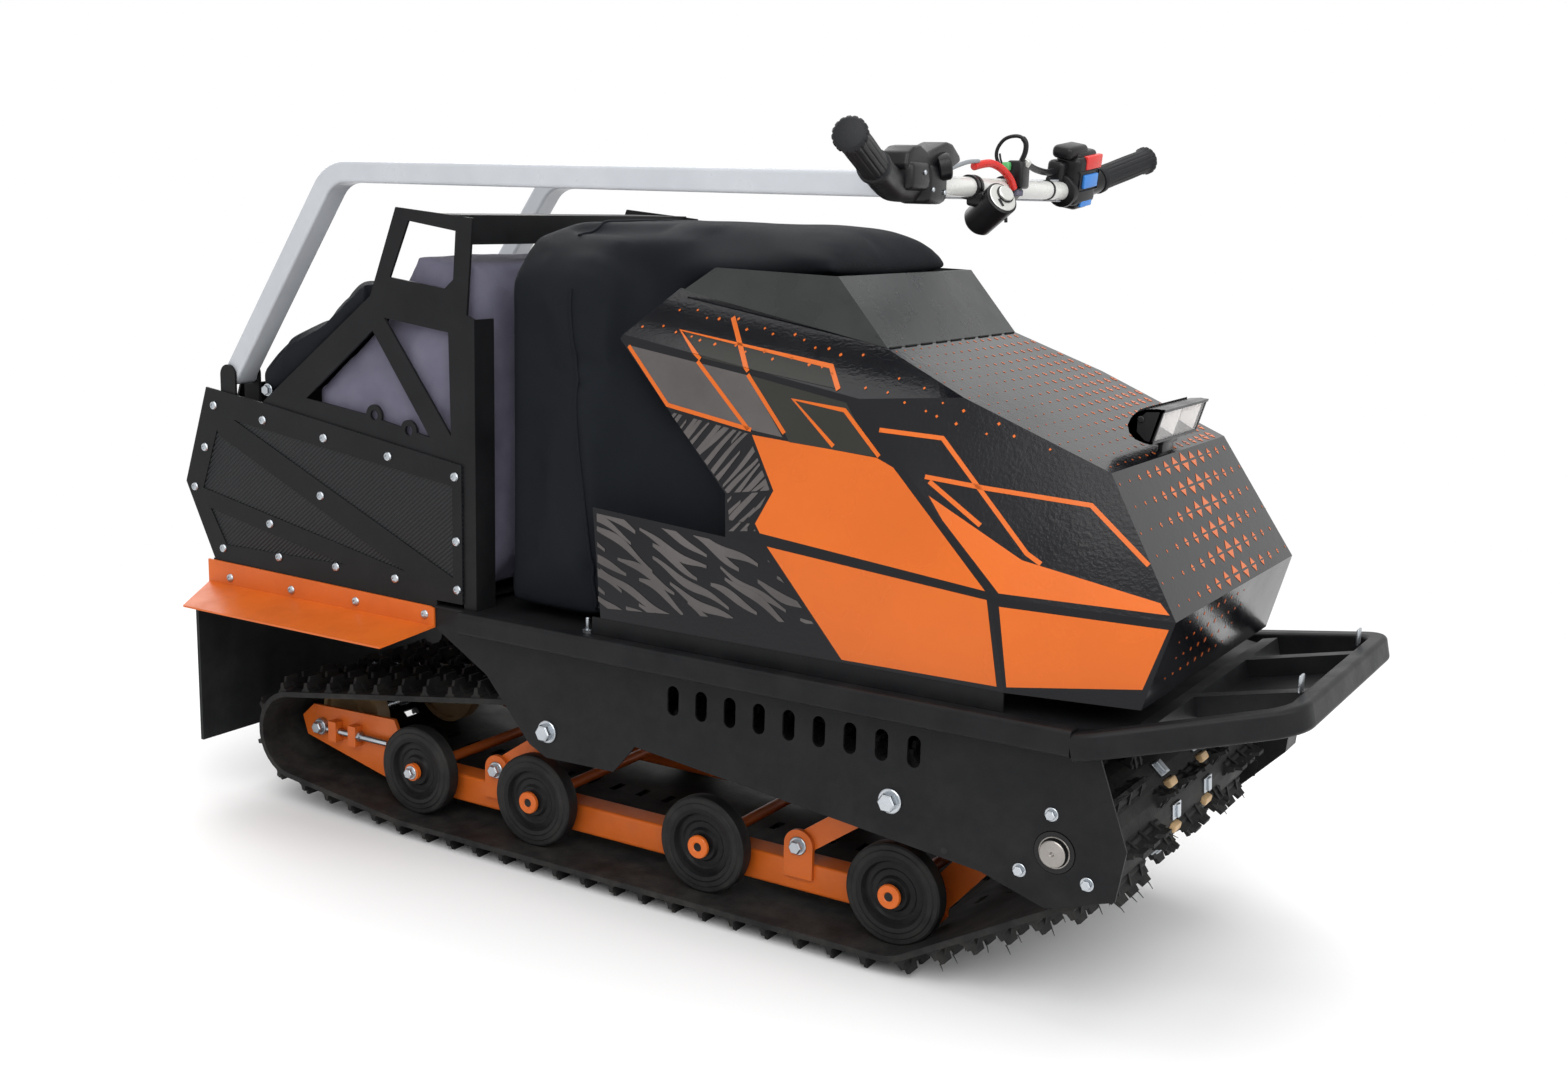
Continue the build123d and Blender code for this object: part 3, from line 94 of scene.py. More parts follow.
class MeshShop:
    """Makes plain meshes, each with its place in its own vertices."""

    @staticmethod
    def publish(name: str, bm: BMesh, smooth: bool = False,
                tidy: bool = True, crease: float = 0.0) -> Object:
        """Turns a bmesh into an object in the scene.

        Args:
            name: The piece's name.
            bm: The mesh, which is freed here.
            smooth: Whether its faces are shaded smooth.
            tidy: Whether doubles are merged and normals are turned outwards.
            crease: The angle in degrees past which an edge of a smooth piece stays sharp.

        Returns:
            The new object at the origin.
        """
        if tidy:
            bmesh.ops.remove_doubles(bm, verts=bm.verts, dist=1e-6)
            bmesh.ops.recalc_face_normals(bm, faces=bm.faces)
        mesh = bpy.data.meshes.new(name)
        for face in bm.faces:
            face.smooth = smooth or crease > 0
        bm.to_mesh(mesh)
        bm.free()
        if crease > 0:
            mesh.set_sharp_from_angle(angle=math.radians(crease))
        piece = bpy.data.objects.new(name, mesh)
        bpy.context.scene.collection.objects.link(piece)
        return piece

    @staticmethod
    def soften(bm: BMesh, radius: float, steps: int = 3, angle: float = 18.0) -> None:
        """Rounds every edge of a mesh that is sharper than an angle.

        Args:
            bm: The mesh.
            radius: The radius of the rounded edges.
            steps: The bevel's segments.
            angle: The smallest angle in degrees of an edge that is rounded.
        """
        bmesh.ops.recalc_face_normals(bm, faces=bm.faces[:])
        sharp = [e for e in bm.edges if len(e.link_faces) == 2
                 and e.calc_face_angle(0.0) > math.radians(angle)]
        bmesh.ops.bevel(bm, geom=sharp, offset=radius, segments=steps, profile=0.5, affect="EDGES",
                        clamp_overlap=True)

    @staticmethod
    def prism(bm: BMesh, corners: Sequence[Vector], push: Vector) -> None:
        """Adds a closed prism from a flat outline.

        Args:
            bm: The mesh that it joins.
            corners: The outline's corners in order.
            push: The way and the distance to the far end.
        """
        near = [bm.verts.new(c) for c in corners]
        far = [bm.verts.new(c + push) for c in corners]
        caps = [bm.faces.new(near), bm.faces.new(list(reversed(far)))]
        count = len(corners)
        for i in range(count):
            j = (i + 1) % count
            bm.faces.new((near[j], near[i], far[i], far[j]))
        for cap in caps:
            cap.normal_update()
        bmesh.ops.triangulate(bm, faces=caps)

    @staticmethod
    def _loop(bm: BMesh, middle: Vector, side: Vector, up: Vector,
              radii: Sequence[float]) -> list[BMVert]:
        """Adds the points of one turn round a middle.

        Args:
            bm: The mesh that they join.
            middle: The middle.
            side: The way to the first point.
            up: The way to the point a quarter turn on.
            radii: The distance of each point.

        Returns:
            The points.
        """
        turns = [2 * math.pi * k / len(radii) for k in range(len(radii))]
        return [bm.verts.new(middle + side * (r * math.cos(turn)) + up * (r * math.sin(turn)))
                for r, turn in zip(radii, turns)]

    @staticmethod
    def _skin(bm: BMesh, loops: Sequence[list[BMVert]], closed: bool) -> None:
        """Joins loops of points with faces.

        Args:
            bm: The mesh that they join.
            loops: The loops in order, each with as many points.
            closed: Whether the last joins the first. Otherwise the two ends are capped.
        """
        for low, high in zip(loops, [*loops[1:], loops[0]] if closed else loops[1:]):
            for k in range(len(low)):
                n = (k + 1) % len(low)
                bm.faces.new((low[k], low[n], high[n], high[k]))
        if not closed:
            bm.faces.new(list(reversed(loops[0])))
            bm.faces.new(loops[-1])

    @staticmethod
    def ring(bm: BMesh, centre: Vector, axis: Vector,
             profile: Sequence[Flat], steps: int = 48) -> None:
        """Adds a turned solid whose profile may leave a hole along the axis.

        Args:
            bm: The mesh that it joins.
            centre: The point on the axis where the profile's depth is 0.
            axis: The axis.
            profile: Radius and depth of the profile's corners, in order round it.
            steps: How many steps go round the axis.
        """
        along = unit(axis)
        side = unit(along.orthogonal())
        up = along.cross(side)
        closed = all(radius > 1e-6 for radius, depth in profile)
        loops = []
        for radius, depth in profile:
            middle = centre + along * depth
            if radius <= 1e-6:
                loops.append([bm.verts.new(middle)])
                continue
            loops.append(MeshShop._loop(bm, middle, side, up, [radius] * steps))
        pairs = list(zip(loops, loops[1:]))
        if closed:
            pairs.append((loops[-1], loops[0]))
        for low, high in pairs:
            for k in range(steps):
                n = (k + 1) % steps
                corners = [low[k % len(low)], low[n % len(low)], high[n % len(high)], high[k % len(high)]]
                unique = list(dict.fromkeys(corners))
                if len(unique) > 2:
                    bm.faces.new(unique)

    @staticmethod
    def fluted(bm: BMesh, centre: Vector, axis: Vector,
               rows: Sequence[Point], flutes: int, steps: int = 96) -> None:
        """Adds a turned solid with grooves along its length.

        Args:
            bm: The mesh that it joins.
            centre: The point on the axis where the rows' depth is 0.
            axis: The axis.
            rows: Depth, radius and groove depth of each row.
            flutes: How many grooves go round it.
            steps: How many steps go round the axis.
        """
        along = unit(axis)
        side = unit(along.orthogonal())
        up = along.cross(side)
        turns = [2 * math.pi * k / steps for k in range(steps)]
        waves = [max(math.cos(flutes * turn), 0.0) ** 2 for turn in turns]
        MeshShop._skin(bm, [MeshShop._loop(bm, centre + along * depth, side, up,
                                           [radius - groove * wave for wave in waves])
                            for depth, radius, groove in rows], False)

    @staticmethod
    def block(bm: BMesh, centre: Vector, size: Vector,
              turn: Optional[Matrix] = None, bevel: float = 0.0, steps: int = 2) -> None:
        """Adds a block with rounded edges.

        Args:
            bm: The mesh that it joins.
            centre: Its middle.
            size: Its three sides.
            turn: Its rotation.
            bevel: The radius of its edges.
            steps: The bevel's segments.
        """
        place = Matrix.Translation(centre)
        if turn is not None:
            place = place @ turn.to_4x4()
        made = bmesh.ops.create_cube(bm, size=1.0, matrix=place @ Matrix.Diagonal((*size, 1.0)))
        if bevel > 0:
            edges = list(dict.fromkeys(e for vert in made["verts"] for e in vert.link_edges))
            bmesh.ops.bevel(bm, geom=edges, offset=bevel, segments=steps, profile=0.5,
                            affect="EDGES", clamp_overlap=True)

    @staticmethod
    def tube(bm: BMesh, path: Sequence[Vector], radius: Callable[[float], float] | float,
             steps: int = 12, closed: bool = False) -> None:
        """Adds a tube that follows a path, with closed ends.

        Args:
            bm: The mesh that it joins.
            path: The points of its centre line.
            radius: Its radius, or a function of the share of the way along it.
            steps: How many steps go round it.
            closed: Whether the path comes back to its start.
        """
        count = len(path)
        size = radius if callable(radius) else (lambda share: radius)
        loops = []
        side: Optional[Vector] = None
        for i, spot in enumerate(path):
            ahead = path[(i + 1) % count] if closed or i + 1 < count else spot
            behind = path[i - 1] if closed or i else spot
            along = unit(ahead - behind)
            if side is None:
                side = unit(along.orthogonal())
            side = unit(side - along * side.dot(along))
            up = along.cross(side)
            loops.append(MeshShop._loop(bm, spot, side, up, [size(i / max(count - 1, 1))] * steps))
        MeshShop._skin(bm, loops, closed)


def smooth_path(points: Sequence[Vector], per_span: int = 8, closed: bool = False) -> list[Vector]:
    """Points on a smooth curve through the given ones.

    Args:
        points: The points that it passes through.
        per_span: How many steps lie between two of them.
        closed: Whether it comes back to its start.

    Returns:
        The curve's points.
    """
    count = len(points)
    out: list[Vector] = []
    spans = count if closed else count - 1
    for i in range(spans):
        p1 = points[i]
        p2 = points[(i + 1) % count]
        p0 = points[i - 1] if closed or i else p1 * 2 - p2
        p3 = points[(i + 2) % count] if closed or i + 2 < count else p2 * 2 - p1
        for k in range(per_span):
            t = k / per_span
            out.append(0.5 * ((2 * p1) + (p2 - p0) * t + (2 * p0 - 5 * p1 + 4 * p2 - p3) * t * t
                              + (3 * p1 - p0 - 3 * p2 + p3) * t ** 3))
    if not closed:
        out.append(points[-1].copy())
    return out


def clip_flat(outline: Sequence[Flat], normal: Flat, limit: float) -> list[Flat]:
    """The part of a flat outline on one side of a line.

    Args:
        outline: The outline's corners.
        normal: The line's normal.
        limit: Kept points have a product with the normal up to this.

    Returns:
        The corners that are left, or none.
    """
    kept: list[Flat] = []
    for i, a in enumerate(outline):
        b = outline[(i + 1) % len(outline)]
        da = a[0] * normal[0] + a[1] * normal[1] - limit
        db = b[0] * normal[0] + b[1] * normal[1] - limit
        if da <= 0:
            kept.append(a)
        if (da < 0 < db) or (db < 0 < da):
            share = da / (da - db)
            kept.append((a[0] + (b[0] - a[0]) * share, a[1] + (b[1] - a[1]) * share))
    return kept


class Surface(Enum):
    """Kinds of finish that a piece can have."""

    POWDER = "powder coat"
    GLOSS = "gloss paint"
    RUBBER = "rubber"
    CLOTH = "cloth"
    RIBBED = "ribbed cloth"
    METAL = "metal"
    PLASTIC = "plastic"
    LENS = "lens"
    PRINT = "printed film"


@dataclass(frozen=True)
class Finish:
    """One finish, with the numbers that its material is built from."""

    name: str
    surface: Surface
    colour: Colour
    shade: Colour
    roughness: float = 0.5
    metallic: float = 0.0
    coat: float = 0.0
    grain: float = 600.0
    bump: float = 0.0004
    mottle: float = 14.0
    dust: float = 0.0
    gloss: float = 0.5


class NodeBench:
    """A node tree with short ways to add nodes and to join them."""

    def __init__(self, tree: NodeTree) -> None:
        """Keeps the tree."""
        self.tree = tree

    def join(self, feed: Feed, socket: NodeSocket) -> None:
        """Gives an input its value or its source.

        Args:
            feed: The value, or the output that the input is joined to.
            socket: The input.
        """
        if isinstance(feed, NodeSocket):
            self.tree.links.new(feed, socket)
        else:
            socket.default_value = feed

    def put(self, kind: str, feeds: Mapping[str | int, Feed]) -> Node:
        """Adds a node.

        Args:
            kind: The node's type.
            feeds: The value or the source of each input that isn't left as it is.

        Returns:
            The node.
        """
        node = self.tree.nodes.new(kind)
        for name, feed in feeds.items():
            self.join(feed, node.inputs[name])
        return node

    def reckon(self, operation: str, first: Feed, second: Feed) -> NodeSocket:
        """Adds a node that reckons with two numbers.

        Args:
            operation: What it does.
            first: The first number.
            second: The second number.

        Returns:
            The result.
        """
        node = self.put("ShaderNodeMath", {0: first, 1: second})
        node.operation = operation
        return node.outputs["Value"]

    def blend(self, share: Feed, low: Feed, high: Feed) -> NodeSocket:
        """Adds a mix of two colours.

        Args:
            share: The share of the second colour.
            low: The first colour.
            high: The second colour.

        Returns:
            The mixed colour.
        """
        node = self.tree.nodes.new("ShaderNodeMix")
        node.data_type = "RGBA"
        for number, feed in ((0, share), (6, low), (7, high)):
            self.join(feed, node.inputs[number])
        return node.outputs[2]

    def spread(self, value: Feed, **limits: Feed) -> NodeSocket:
        """Adds a node that maps a number's range to another.

        Args:
            value: The number.
            **limits: The limits, from_min to to_max, that aren't left as they are.

        Returns:
            The mapped number.
        """
        feeds = {name.replace("_", " ").title(): limit for name, limit in limits.items()}
        return self.put("ShaderNodeMapRange", {**feeds, "Value": value}).outputs["Result"]


class ShaderGroups:
    """Effects that several materials share, each built once as a node group."""

    def __init__(self) -> None:
        """Builds every group."""
        self.tone = self._tone()
        self.weave = self._weave()
        self.dust = self._dust()
        self.peel = self._peel()

    @staticmethod
    def _open(name: str, numbers: Mapping[str, float], colours: Sequence[str] = ()
              ) -> tuple[NodeBench, Mapping[str, NodeSocket]]:
        """Makes an empty group that starts from a place.

        Args:
            name: The group's name.
            numbers: Its numbers with their defaults.
            colours: The names of the colours that it takes.

        Returns:
            The group's bench and the sockets of what it is given.
        """
        group = bpy.data.node_groups.new(name, "ShaderNodeTree")
        group.interface.new_socket(name="Place", in_out="INPUT", socket_type="NodeSocketVector")
        for label, default in numbers.items():
            socket = group.interface.new_socket(name=label, in_out="INPUT", socket_type="NodeSocketFloat")
            socket.default_value = default
        for label in colours:
            group.interface.new_socket(name=label, in_out="INPUT", socket_type="NodeSocketColor")
        return NodeBench(group), group.nodes.new("NodeGroupInput").outputs

    @staticmethod
    def _close(bench: NodeBench, results: Mapping[str, tuple[str, NodeSocket]]
               ) -> NodeTree:
        """Gives a group its results.

        Args:
            bench: The group's bench.
            results: Each result's socket type and its source.

        Returns:
            The group.
        """
        for label, (kind, _) in results.items():
            bench.tree.interface.new_socket(name=label, in_out="OUTPUT", socket_type=kind)
        bench.put("NodeGroupOutput", {label: feed for label, (_, feed) in results.items()})
        return bench.tree

    def _tone(self) -> NodeTree:
        """Two colours mixed by soft patches, and the patches themselves.

        Returns:
            The group.
        """
        bench, given = self._open("tone", {"Scale": 14.0}, ("Colour", "Shade"))
        noise = bench.put("ShaderNodeTexNoise", {"Detail": 5.0, "Roughness": 0.6, "Vector": given["Place"],
                                                 "Scale": given["Scale"]})
        patches = bench.spread(noise.outputs["Fac"], from_min=0.34, from_max=0.68)
        colour = bench.blend(patches, given["Colour"], given["Shade"])
        return self._close(bench, {"Colour": ("NodeSocketColor", colour),
                                   "Patches": ("NodeSocketFloat", patches)})

    def _weave(self) -> NodeTree:
        """Threads that cross, or ribs that run one way, as a height.

        Returns:
            The group.
        """
        bench, given = self._open("weave", {"Threads": 900.0, "Slant": 0.0, "Cross": 1.0})
        turn = bench.put("ShaderNodeVectorRotate", {"Vector": given["Place"]})
        turn.rotation_type = "Y_AXIS"
        bench.join(given["Slant"], turn.inputs["Angle"])
        heights = []
        for direction in ("X", "Z"):
            wave = bench.put("ShaderNodeTexWave", {"Distortion": 0.35, "Detail": 1.0,
                                                   "Vector": turn.outputs["Vector"],
                                                   "Scale": given["Threads"]})
            wave.bands_direction = direction
            heights.append(wave.outputs["Fac"])
        crossing = bench.reckon("MULTIPLY", heights[1], given["Cross"])
        height = bench.reckon("MAXIMUM", heights[0], crossing)
        return self._close(bench, {"Height": ("NodeSocketFloat", height)})

    def _dust(self) -> NodeTree:
        """Dust that is thicker near the ground and lies in patches, as a mask.

        Returns:
            The group.
        """
        bench, given = self._open("dust", {"Reach": 0.5, "Amount": 0.3})
        split = bench.put("ShaderNodeSeparateXYZ", {"Vector": given["Place"]})
        height = bench.spread(split.outputs["Z"], from_min=0.0, from_max=given["Reach"], to_min=1.0,
                              to_max=0.12)
        noise = bench.put("ShaderNodeTexNoise", {"Scale": 22.0, "Detail": 8.0, "Roughness": 0.7,
                                                 "Vector": given["Place"]})
        patches = bench.spread(noise.outputs["Fac"], from_min=0.4, from_max=0.75)
        mask = bench.reckon("MULTIPLY", bench.reckon("MULTIPLY", height, patches), given["Amount"])
        return self._close(bench, {"Mask": ("NodeSocketFloat", mask)})

    def _peel(self) -> NodeTree:
        """Fine grain over a slow ripple, as a height.

        Returns:
            The group.
        """
        bench, given = self._open("peel", {"Grain": 600.0, "Ripple": 60.0})
        grain, ripple = (
            bench.put("ShaderNodeTexNoise", {"Detail": detail, "Vector": given["Place"],
                                             "Scale": given[label]}).outputs["Fac"]
            for label, detail in (("Grain", 2.0), ("Ripple", 3.0)))
        return self._close(bench, {"Height": ("NodeSocketFloat", bench.reckon("ADD", grain, ripple))})


DUST_COLOUR = (0.20, 0.185, 0.165, 1.0)
DUST_REACH = 0.55
# share of its colour that the ribbed cloth keeps in its grooves, as painted shade
GROOVE_PAINTED_SHADE = 0.3
GLASS_ALPHA = 0.18
GLASS_IOR = 1.3


class Paintshop:
    """Builds each finish's material once and gives it to pieces."""

    def __init__(self, finishes: Iterable[Finish]) -> None:
        """Keeps the finishes by name and builds the shared groups.

        Args:
            finishes: Every finish.
        """
        self.groups = ShaderGroups()
        self.finishes = {finish.name: finish for finish in finishes}
        self.made: dict[str, Material] = {}

    def material(self, name: str) -> Material:
        """The material of a finish, built when it is first asked for.

        Args:
            name: The finish's name.

        Returns:
            The material.
        """
        if name not in self.made:
            self.made[name] = self._build(self.finishes[name])
        return self.made[name]

    def dress(self, piece: Object, name: str) -> None:
        """Gives a piece one finish all over."""
        piece.data.materials.clear()
        piece.data.materials.append(self.material(name))

    @staticmethod
    def _group(bench: NodeBench, group: NodeTree, **feeds: Feed) -> Node:
        """Puts a shared group in a material.

        Args:
            bench: The material's bench.
            group: The shared group.
            **feeds: The values or sources of its inputs.

        Returns:
            The group's node.
        """
        node = bench.tree.nodes.new("ShaderNodeGroup")
        node.node_tree = group
        for label, feed in feeds.items():
            bench.join(feed, node.inputs[label])
        return node

    def _build(self, finish: Finish) -> Material:
        """Makes a finish's material.

        Args:
            finish: The finish.

        Returns:
            The material.
        """
        material = bpy.data.materials.new(finish.name)
        material.use_nodes = True
        bench = NodeBench(material.node_tree)
        sockets = bench.tree.nodes["Principled BSDF"].inputs
        for label, value in (("Metallic", finish.metallic), ("Specular IOR Level", finish.gloss),
                             ("Coat Weight", finish.coat), ("Coat Roughness", 0.06)):
            sockets[label].default_value = value
        place = bench.tree.nodes.new("ShaderNodeTexCoord").outputs["Object"]
        tone = self._group(bench, self.groups.tone, Place=place, Scale=finish.mottle,
                           Colour=(*finish.colour, 1.0), Shade=(*finish.shade, 1.0))
        colour = tone.outputs["Colour"]
        if finish.dust > 0:
            dust = self._group(bench, self.groups.dust, Place=place, Reach=DUST_REACH, Amount=finish.dust)
            colour = bench.blend(dust.outputs["Mask"], colour, DUST_COLOUR)
        if finish.surface in (Surface.CLOTH, Surface.RIBBED):
            ribbed = finish.surface is Surface.RIBBED
            height = self._group(bench, self.groups.weave, Place=place, Threads=finish.grain,
                                 Slant=-0.9 if ribbed else 0.12, Cross=0.0 if ribbed else 1.0)
            if ribbed:
                # painted shade: the grooves, where the rib height is low, take a darker copy of the colour
                groove = (*(value * GROOVE_PAINTED_SHADE for value in finish.colour), 1.0)
                colour = bench.blend(height.outputs["Height"], groove, colour)
        else:
            height = self._group(bench, self.groups.peel, Place=place, Grain=finish.grain,
                                 Ripple=finish.grain / 9)
        bench.join(colour, sockets["Base Color"])
        bench.join(bench.spread(tone.outputs["Patches"], to_min=max(finish.roughness - 0.06, 0.03),
                                to_max=min(finish.roughness + 0.08, 1.0)), sockets["Roughness"])
        bump = bench.put("ShaderNodeBump", {"Strength": 0.5, "Distance": finish.bump,
                                            "Height": height.outputs["Height"]})
        bench.join(bump.outputs["Normal"], sockets["Normal"])
        if finish.surface is Surface.LENS:
            sockets["Alpha"].default_value = GLASS_ALPHA
            sockets["IOR"].default_value = GLASS_IOR
        return material


FINISHES = (
    Finish("black_powder", Surface.POWDER, (0.0060, 0.0062, 0.0070), (0.0095, 0.0098, 0.0108), 0.42,
           dust=0.05, gloss=0.14),
    Finish("graphite_powder", Surface.POWDER, (0.016, 0.018, 0.018), (0.026, 0.028, 0.028), 0.30,
           gloss=0.4),
    Finish("orange_powder", Surface.POWDER, (0.62, 0.125, 0.012), (0.54, 0.105, 0.010), 0.38, dust=0.08,
           gloss=0.3),
    Finish("grey_lacquer", Surface.GLOSS, (0.46, 0.48, 0.51), (0.42, 0.44, 0.47), 0.32, coat=0.15,
           grain=300.0, bump=0.0002),
    Finish("white_lacquer", Surface.GLOSS, (0.66, 0.66, 0.64), (0.60, 0.60, 0.58), 0.25, coat=0.3,
           grain=60.0, bump=0.00008),
    Finish("black_gloss", Surface.GLOSS, (0.0040, 0.0042, 0.0055), (0.0060, 0.0062, 0.0080), 0.15,
           coat=0.06, grain=220.0, bump=0.00035, mottle=5.0, gloss=0.22),
    Finish("orange_film", Surface.PRINT, (0.60, 0.118, 0.008), (0.54, 0.104, 0.008), 0.26, coat=0.08,
           grain=220.0, bump=0.00025, mottle=5.0, gloss=0.3),
    Finish("grey_film", Surface.PRINT, (0.098, 0.088, 0.086), (0.066, 0.060, 0.058), 0.30, coat=0.06,
           grain=220.0, bump=0.00025, mottle=9.0, gloss=0.25),
    Finish("charcoal_film", Surface.PRINT, (0.017, 0.017, 0.014), (0.023, 0.023, 0.019), 0.3, coat=0.06,
           grain=220.0, bump=0.00025, mottle=5.0, gloss=0.25),
    Finish("belt_rubber", Surface.RUBBER, (0.0075, 0.0075, 0.0080), (0.016, 0.016, 0.016), 0.62, dust=0.14,
           grain=380.0, bump=0.0008, gloss=0.15),
    Finish("wheel_rubber", Surface.RUBBER, (0.0070, 0.0070, 0.0075), (0.012, 0.012, 0.012), 0.54, dust=0.10,
           grain=480.0, bump=0.0005, gloss=0.18),
    Finish("flap_rubber", Surface.RUBBER, (0.0090, 0.0100, 0.0110), (0.014, 0.015, 0.016), 0.50, dust=0.06,
           grain=420.0, bump=0.0005, gloss=0.15),
    Finish("grip_rubber", Surface.RUBBER, (0.0080, 0.0085, 0.0100), (0.013, 0.0135, 0.015), 0.5,
           grain=700.0, gloss=0.2),
    Finish("zinc", Surface.METAL, (0.50, 0.53, 0.56), (0.40, 0.43, 0.46), 0.30, metallic=1.0,
           grain=500.0, bump=0.0002),
    Finish("worn_steel", Surface.METAL, (0.34, 0.32, 0.30), (0.24, 0.225, 0.21), 0.36, metallic=0.9,
           grain=420.0, bump=0.0003),
    # the reflectors' one metal as two copies: a light one as painted highlight, a dark one as painted shade
    Finish("reflector", Surface.METAL, (0.80, 0.77, 0.75), (0.72, 0.69, 0.67), 0.5, metallic=0.2,
           grain=120.0, bump=0.0001),
    Finish("reflector_shade", Surface.METAL, (0.060, 0.045, 0.040), (0.040, 0.030, 0.028), 0.4,
           metallic=0.3, grain=120.0, bump=0.0001),
    Finish("cast_alloy", Surface.METAL, (0.42, 0.42, 0.42), (0.34, 0.34, 0.34), 0.5, metallic=0.8,
           grain=300.0, bump=0.0006),
    Finish("tan_nylon", Surface.PLASTIC, (0.58, 0.40, 0.21), (0.48, 0.31, 0.15), 0.45, dust=0.08),
    Finish("black_plastic", Surface.PLASTIC, (0.0055, 0.0055, 0.0065), (0.009, 0.009, 0.010), 0.28,
           grain=900.0, bump=0.0002, gloss=0.25),
    Finish("red_plastic", Surface.PLASTIC, (0.62, 0.03, 0.02), (0.54, 0.02, 0.02), 0.3, bump=0.0001),
    Finish("blue_plastic", Surface.PLASTIC, (0.04, 0.22, 0.62), (0.03, 0.18, 0.54), 0.3, bump=0.0001),
    Finish("green_plastic", Surface.PLASTIC, (0.10, 0.42, 0.14), (0.08, 0.34, 0.11), 0.4, bump=0.0001),
    Finish("silver_plate", Surface.METAL, (0.62, 0.62, 0.60), (0.52, 0.52, 0.50), 0.35, metallic=0.7,
           grain=300.0, bump=0.0001),
    Finish("cable_sheath", Surface.PLASTIC, (0.20, 0.22, 0.24), (0.15, 0.165, 0.18), 0.3, bump=0.0001),
    Finish("cover_cloth", Surface.CLOTH, (0.0045, 0.0058, 0.0080), (0.0085, 0.0105, 0.0140), 0.66,
           grain=700.0, bump=0.0005, mottle=5.0, gloss=0.12),
    Finish("lining_ribbed", Surface.RIBBED, (0.0100, 0.0112, 0.0128), (0.017, 0.0185, 0.021), 0.5,
           grain=60.0, bump=0.0030, gloss=0.25),
    # lilac-grey: painted sheen, the light on dark cloth painted into its colour
    Finish("lilac_painted_sheen", Surface.CLOTH, (0.110, 0.105, 0.150), (0.150, 0.145, 0.195), 0.75, grain=650.0,
           bump=0.0005, gloss=0.2),
    Finish("lens_clear", Surface.LENS, (0.95, 0.95, 0.95), (0.93, 0.93, 0.93), 0.04, bump=0.00004,
           gloss=0.1),
    Finish("lamp_chip", Surface.PLASTIC, (0.86, 0.80, 0.36), (0.80, 0.72, 0.30), 0.4, bump=0.0001),
)

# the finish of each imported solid; a name that ends in _ has a right and a left solid
FINISH_NODES = {
    "black_powder": "side_plate_ deck cross_members rear_frame tow_hitch bumper_rail bumper_braces box_side_ "
                    "box_rear_wall box_floor arch_frame_ arch_top_bar drive_bearings chain_case "
                    "pivot_bracket_ lamp_housing roller_hubs",
    "black_gloss": "hood_top hood_skirt",
    "graphite_powder": "deflector",
    "orange_powder": "fender_ rail_ suspension_arms roller_axles",
    "grey_lacquer": "steering_tube_",
    "white_lacquer": "handlebar",
    "black_plastic": "throttle_control switch_pod tether_switch ignition_switch",
    "zinc": "track_adjuster_ idler_axle",
    "worn_steel": "drive_shaft",
    "cast_alloy": "engine_block",
    "tan_nylon": "idler_wheels drive_sprockets",
    "belt_rubber": "track",
    "wheel_rubber": "roller_tyres",
    "flap_rubber": "mud_flap",
    "grip_rubber": "grips",
    "cover_cloth": "engine_cover cargo_cover",
    "lilac_painted_sheen": "cargo_liner",
    "lining_ribbed": "box_lining_",
    "lens_clear": "lamp_lenses",
}


@dataclass
class Workshop:
    """What every sub-assembly needs to make, paint and hand over its pieces."""

    paint: Paintshop
    placer: "Placer"

    def settle(self, piece: Object, finish: str, body: str, slot: str,
               stands_for: Sequence[str] = ()) -> None:
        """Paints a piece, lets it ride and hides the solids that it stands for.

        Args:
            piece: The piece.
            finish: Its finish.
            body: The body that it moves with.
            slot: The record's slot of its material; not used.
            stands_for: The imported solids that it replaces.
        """
        self.paint.dress(piece, finish)
        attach(piece, body)
        if stands_for:
            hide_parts(*stands_for)
        LOG.info("%s: %s faces", piece.name, len(piece.data.polygons))

    def make(self, name: str, bm: BMesh, finish: str, slot: str,
             stands_for: Sequence[str] = (), body: str = CHASSIS, **looks: float) -> None:
        """Publishes a mesh and settles the piece.

        Args:
            name: The piece's name.
            bm: Its mesh.
            finish: Its finish.
            slot: The record's slot of its material.
            stands_for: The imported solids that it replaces.
            body: The body that it moves with.
            **looks: What publish is told about its shading and its doubles.
        """
        self.settle(MeshShop.publish(name, bm, **looks), finish, body, slot, stands_for)


@dataclass(frozen=True)
class Spot:
    """One place of a repeated shape: where, which way its Z and X point, and its size."""

    at: Vector
    out: Vector
    along: Optional[Vector] = None
    size: float = 1.0

    def turn(self) -> Matrix:
        """The rotation that the spot gives its shape.

        Returns:
            The rotation.
        """
        out = unit(self.out)
        along = self.along if self.along is not None else out.orthogonal()
        side = unit(along - out * along.dot(out))
        return Matrix((side, out.cross(side), out)).transposed()


